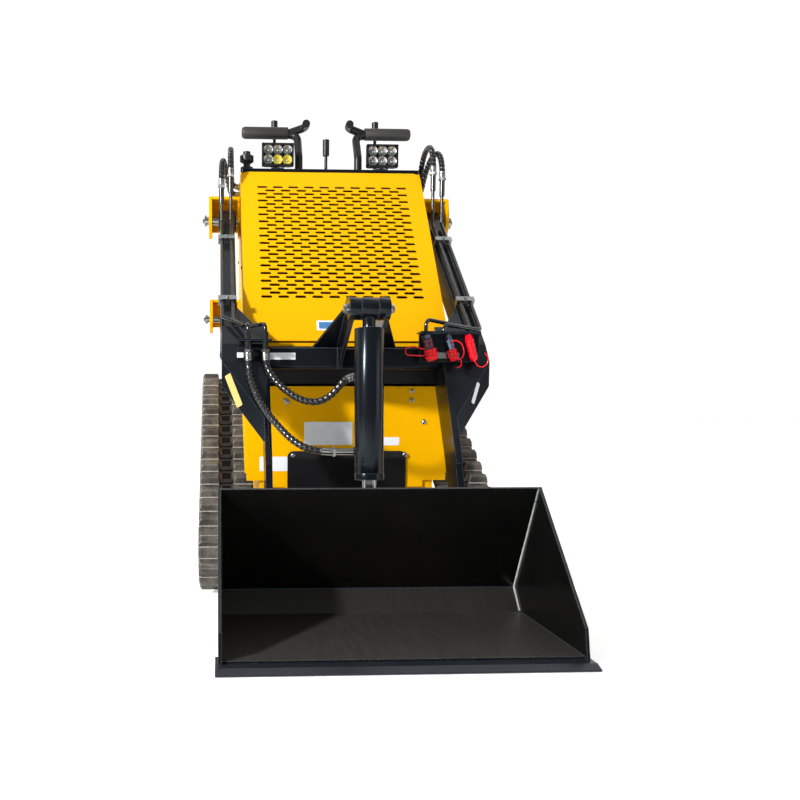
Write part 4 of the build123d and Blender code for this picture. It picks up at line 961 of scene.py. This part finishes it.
body_bolts = Shape()
for x, z in ((-179, 428), (193, 429)):
    fastener(body_bolts, "guard_plate", place(x, AHEAD_S, z), TO_REAR, 7)
for x, z in ((-235, 527), (256, 537), (-198, 602)):
    fastener(body_bolts, "front_panel", place(x, AHEAD_S, z), TO_REAR, 7)
for x, z in ((215, 639), (215, 609), (-205, 639), (-205, 609)):
    fastener(body_bolts, "front_panel", place(x, AHEAD_S, z), TO_REAR, 6)
for side, _ in SIDES:
    for x, z in ((305, 820), (305, 1195)):
        fastener(body_bolts, "rear_cover", place(side * x, BEHIND_S, z), TO_FRONT, 6)
    for x, z in ((305, 1270), (305, 1430)):
        fastener(body_bolts, "dash_panel", place(side * x, BEHIND_S, z), TO_FRONT, 6)
    for s in (1445, 1630):
        fastener(body_bolts, "console", place(side * 318, s, ABOVE_Z), (0, 0, -1), 5)
    for s, z in ((1010, 600), (1010, 740), (1240, 1080), (1700, 800), (1700, 1000), (1730, 1180)):
        fastener(body_bolts, "chassis_frame", place(side * OUTSIDE_X, s, z), (-side, 0, 0), 6)
body_bolts.done("body_bolts", "chassis", zinc, "zinc_steel")

ARM_PIVOT, ARM_SLOPE = (1475, 1292), math.radians(41.14)
CLAMP_X, CLAMPS_ALONG, CLAMP_RISE = 393, (225, 606), 120

arm_bolts = Shape()
for side, _ in SIDES:
    for along in CLAMPS_ALONG:
        s = ARM_PIVOT[0] - along * math.cos(ARM_SLOPE) - CLAMP_RISE * math.sin(ARM_SLOPE)
        z = ARM_PIVOT[1] - along * math.sin(ARM_SLOPE) + CLAMP_RISE * math.cos(ARM_SLOPE)
        heading = (0, math.sin(ARM_SLOPE), -math.cos(ARM_SLOPE))
        fastener(arm_bolts, "pipe_clamps", place(side * CLAMP_X, s, z), heading, 6)
for side in (-1, 1):
    fastener(arm_bolts, "tilt_pin", place(side * 200, *TILT_TOP), (-side, 0, 0), 13)
arm_bolts.done("arm_bolts", "lift_arm", zinc, "zinc_steel")

pin_bolts = Shape()
for side, _ in SIDES:
    for s, z in (ARM_PIVOT, LIFT_FOOT):
        fastener(pin_bolts, "pivot_pins", place(side * OUTSIDE_X, s, z), (-side, 0, 0), 9)
pin_bolts.done("pin_bolts", "chassis", zinc, "zinc_steel")

hinge_bolts = Shape()
for side, _ in SIDES:
    fastener(hinge_bolts, "hinge_pins", place(side * OUTSIDE_X, *BUCKET_HINGE), (-side, 0, 0), 8)
hinge_bolts.done("hinge_bolts", "bucket", zinc, "zinc_steel")

# inner corner of the bucket's side plates, from the lip's end of the floor round to the top
BUCKET_CORNER = ((62, 21), (466, 21), (516, 79), (360, 376))
for side, name in SIDES:
    line = [place(side * 415.5, s, z) for s, z in BUCKET_CORNER]
    weld = Shape()
    # bright steel bead on the left plate and black enamel on the right: lit and shaded copies of one weld,
    # painted light and shade
    if side > 0:
        bead(weld, line[1:], 3.8, 0.45)
    else:
        bead(weld, line, 3.0)
    weld.done(f"bucket_weld_{name}", "bucket", lit_weld_steel if side > 0 else bucket_enamel, "black_paint")

# thin bead along the bend between the back and the floor, drawn so the black paint's edge colour shows as a
# painted highlight line
fold_highlight = Shape()
bead(fold_highlight, [place(-414, 516.5, 79), place(414, 516.5, 79)], 1.6, 0.0)
fold_highlight.done("bucket_fold_highlight", "bucket", black, "black_paint")

seams = Shape()
for side, _ in SIDES:
    for x in (43, 55):
        bead(seams, [place(side * x, 801.5, 704), place(side * x, 801.5, 768)], 2.6)
    bead(seams, [place(side * 267, 802, 768), place(side * 56, 802, 768.5)], 2.2)
seams.done("beam_welds", "lift_arm", black, "black_paint")


# ---------------------------------------------------------------- cylinders
CYLINDERS = (
    # node, radius, x of each barrel, pins of the rod's eye and of the barrel
    ("tilt_barrel", 41, (0,), TILT_EYE, TILT_TOP),
    ("lift_barrels", 30, (-388, 388), LIFT_EYE, LIFT_FOOT),
)


def gland_nuts(node, radius, places, eye, foot):
    """Nuts where the rods leave their barrels, with two thin rings behind each."""
    shape = Shape()
    heading = (Vector(eye) - Vector(foot)).normalized()
    axis = Vector((0, -heading.x, -heading.y))
    for x in places:
        rim = turn_to(axis) @ Vector((1, 0, 0)) * radius * 0.8 / 1000
        centre = seat(node, place(x, *eye) + rim, axis)[0] - rim
        nut = [(radius * 0.9, -1), (radius + 1, 0), (radius + 1, 16), (radius + 0.3, 18)]
        shape.turned(centre, axis, nut, 40)
        for back in (40, 44):
            ring = [(radius, back), (radius + 0.8, back + 0.6), (radius, back + 1.2)]
            shape.turned(centre, axis, ring, 40)
    shape.done(f"glands_{node}", node, black, "black_paint")


for cylinder in CYLINDERS:
    gland_nuts(*cylinder)


# ---------------------------------------------------------------- plates, liner and platform
def plate(name, node, body, start, up, size, material, corner=4, depth=0.5):
    """Blank plate lying on a CAD node where a line from the front meets it."""
    point, out = seat(node, place(*start), TO_REAR)
    up = Vector(up)
    up = (up - out * up.dot(out)).normalized()
    shape = Shape()
    shape.slab(point, up.cross(out), up, (*size, depth), corner)
    shape.done(name, body, material, SLOT_OF_NODE[node])


UP = (0, 0, 1)
PLATES = (
    # name, CAD node, body, start of the line that meets it, up, size, material, and the corner and
    # depth where they aren't the usual ones
    ("panel_plate", "front_panel", "chassis", (-62, AHEAD_S, 499), UP, (160, 76), white_plate),
    ("panel_plate_small", "front_panel", "chassis", (147, AHEAD_S, 473), UP, (56, 27), white_plate),
    ("panel_plate_left", "front_panel", "chassis", (-222, AHEAD_S, 399), UP, (50, 48), white_plate),
    ("panel_plate_edge", "front_panel", "chassis", (-279, AHEAD_S, 399), UP, (20, 48), white_plate),
    ("hood_plate", "hood", "chassis", (-50, AHEAD_S, 855), UP, (96, 42), white_plate),
    ("hood_plate_blue", "hood", "chassis", (-66, AHEAD_S, 855), UP, (48, 28), blue_plate, 2, 0.9),
    ("beam_plate", "crossbeam", "lift_arm", (-225, 700, 743), UP, (80, 21), white_plate, 2),
    ("knee_plate", "knee_right", "lift_arm", (-356, 650, 745), UP, (20, 21), white_plate, 2),
    ("flange_plate", "knee_right", "lift_arm", (-377, 500, 637), (-0.51, 0, 0.86), (23, 106), yellow_plate),
    ("flange_plate_left", "knee_left", "lift_arm", (359, 500, 629), (0.48, 0, 0.88), (15, 68), white_plate),
)
for row in PLATES:
    plate(*row)


def hood_shade_sheet():
    """Near-black sheet behind the hood's slots: painted shade that stands for the dark inside of the hood."""
    low, high = place(0, 1046, 905), place(0, 1392, 1400)
    along = (high - low).normalized()
    inwards = Vector((0, along.z, -along.y))
    shape = Shape()
    centre = (low + high) / 2 + inwards * 0.03
    shape.slab(centre, (1, 0, 0), along, (610, (high - low).length * 1000, 4), 10)
    shape.done("hood_shade_sheet", "chassis", shade_sheet, "black_plastic")


STUD_PITCH, STUD_ROW, STUD_REACH = 34, 31, 215


def tread():
    """Raised studs on the platform, in staggered rows that lean by turns."""
    first_s = (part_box("platform")[0].y - LIP_Y) * 1000 + 52
    shape = Shape()
    for row in range(9):
        for column in range(13):
            x = (column - 6) * STUD_PITCH + (STUD_PITCH / 2 if row % 2 else 0)
            if abs(x) > STUD_REACH:
                continue
            point, out = seat("platform", place(x, first_s + row * STUD_ROW, 400), (0, 0, -1))
            turned = math.radians(45 if (row + column) % 2 else -45)
            across = Vector((math.cos(turned), math.sin(turned), 0))
            shape.slab(point, across, out.cross(across), (20, 5, 1.6), 2)
    shape.done("platform_studs", "platform", black, "black_paint")


hood_shade_sheet()
tread()
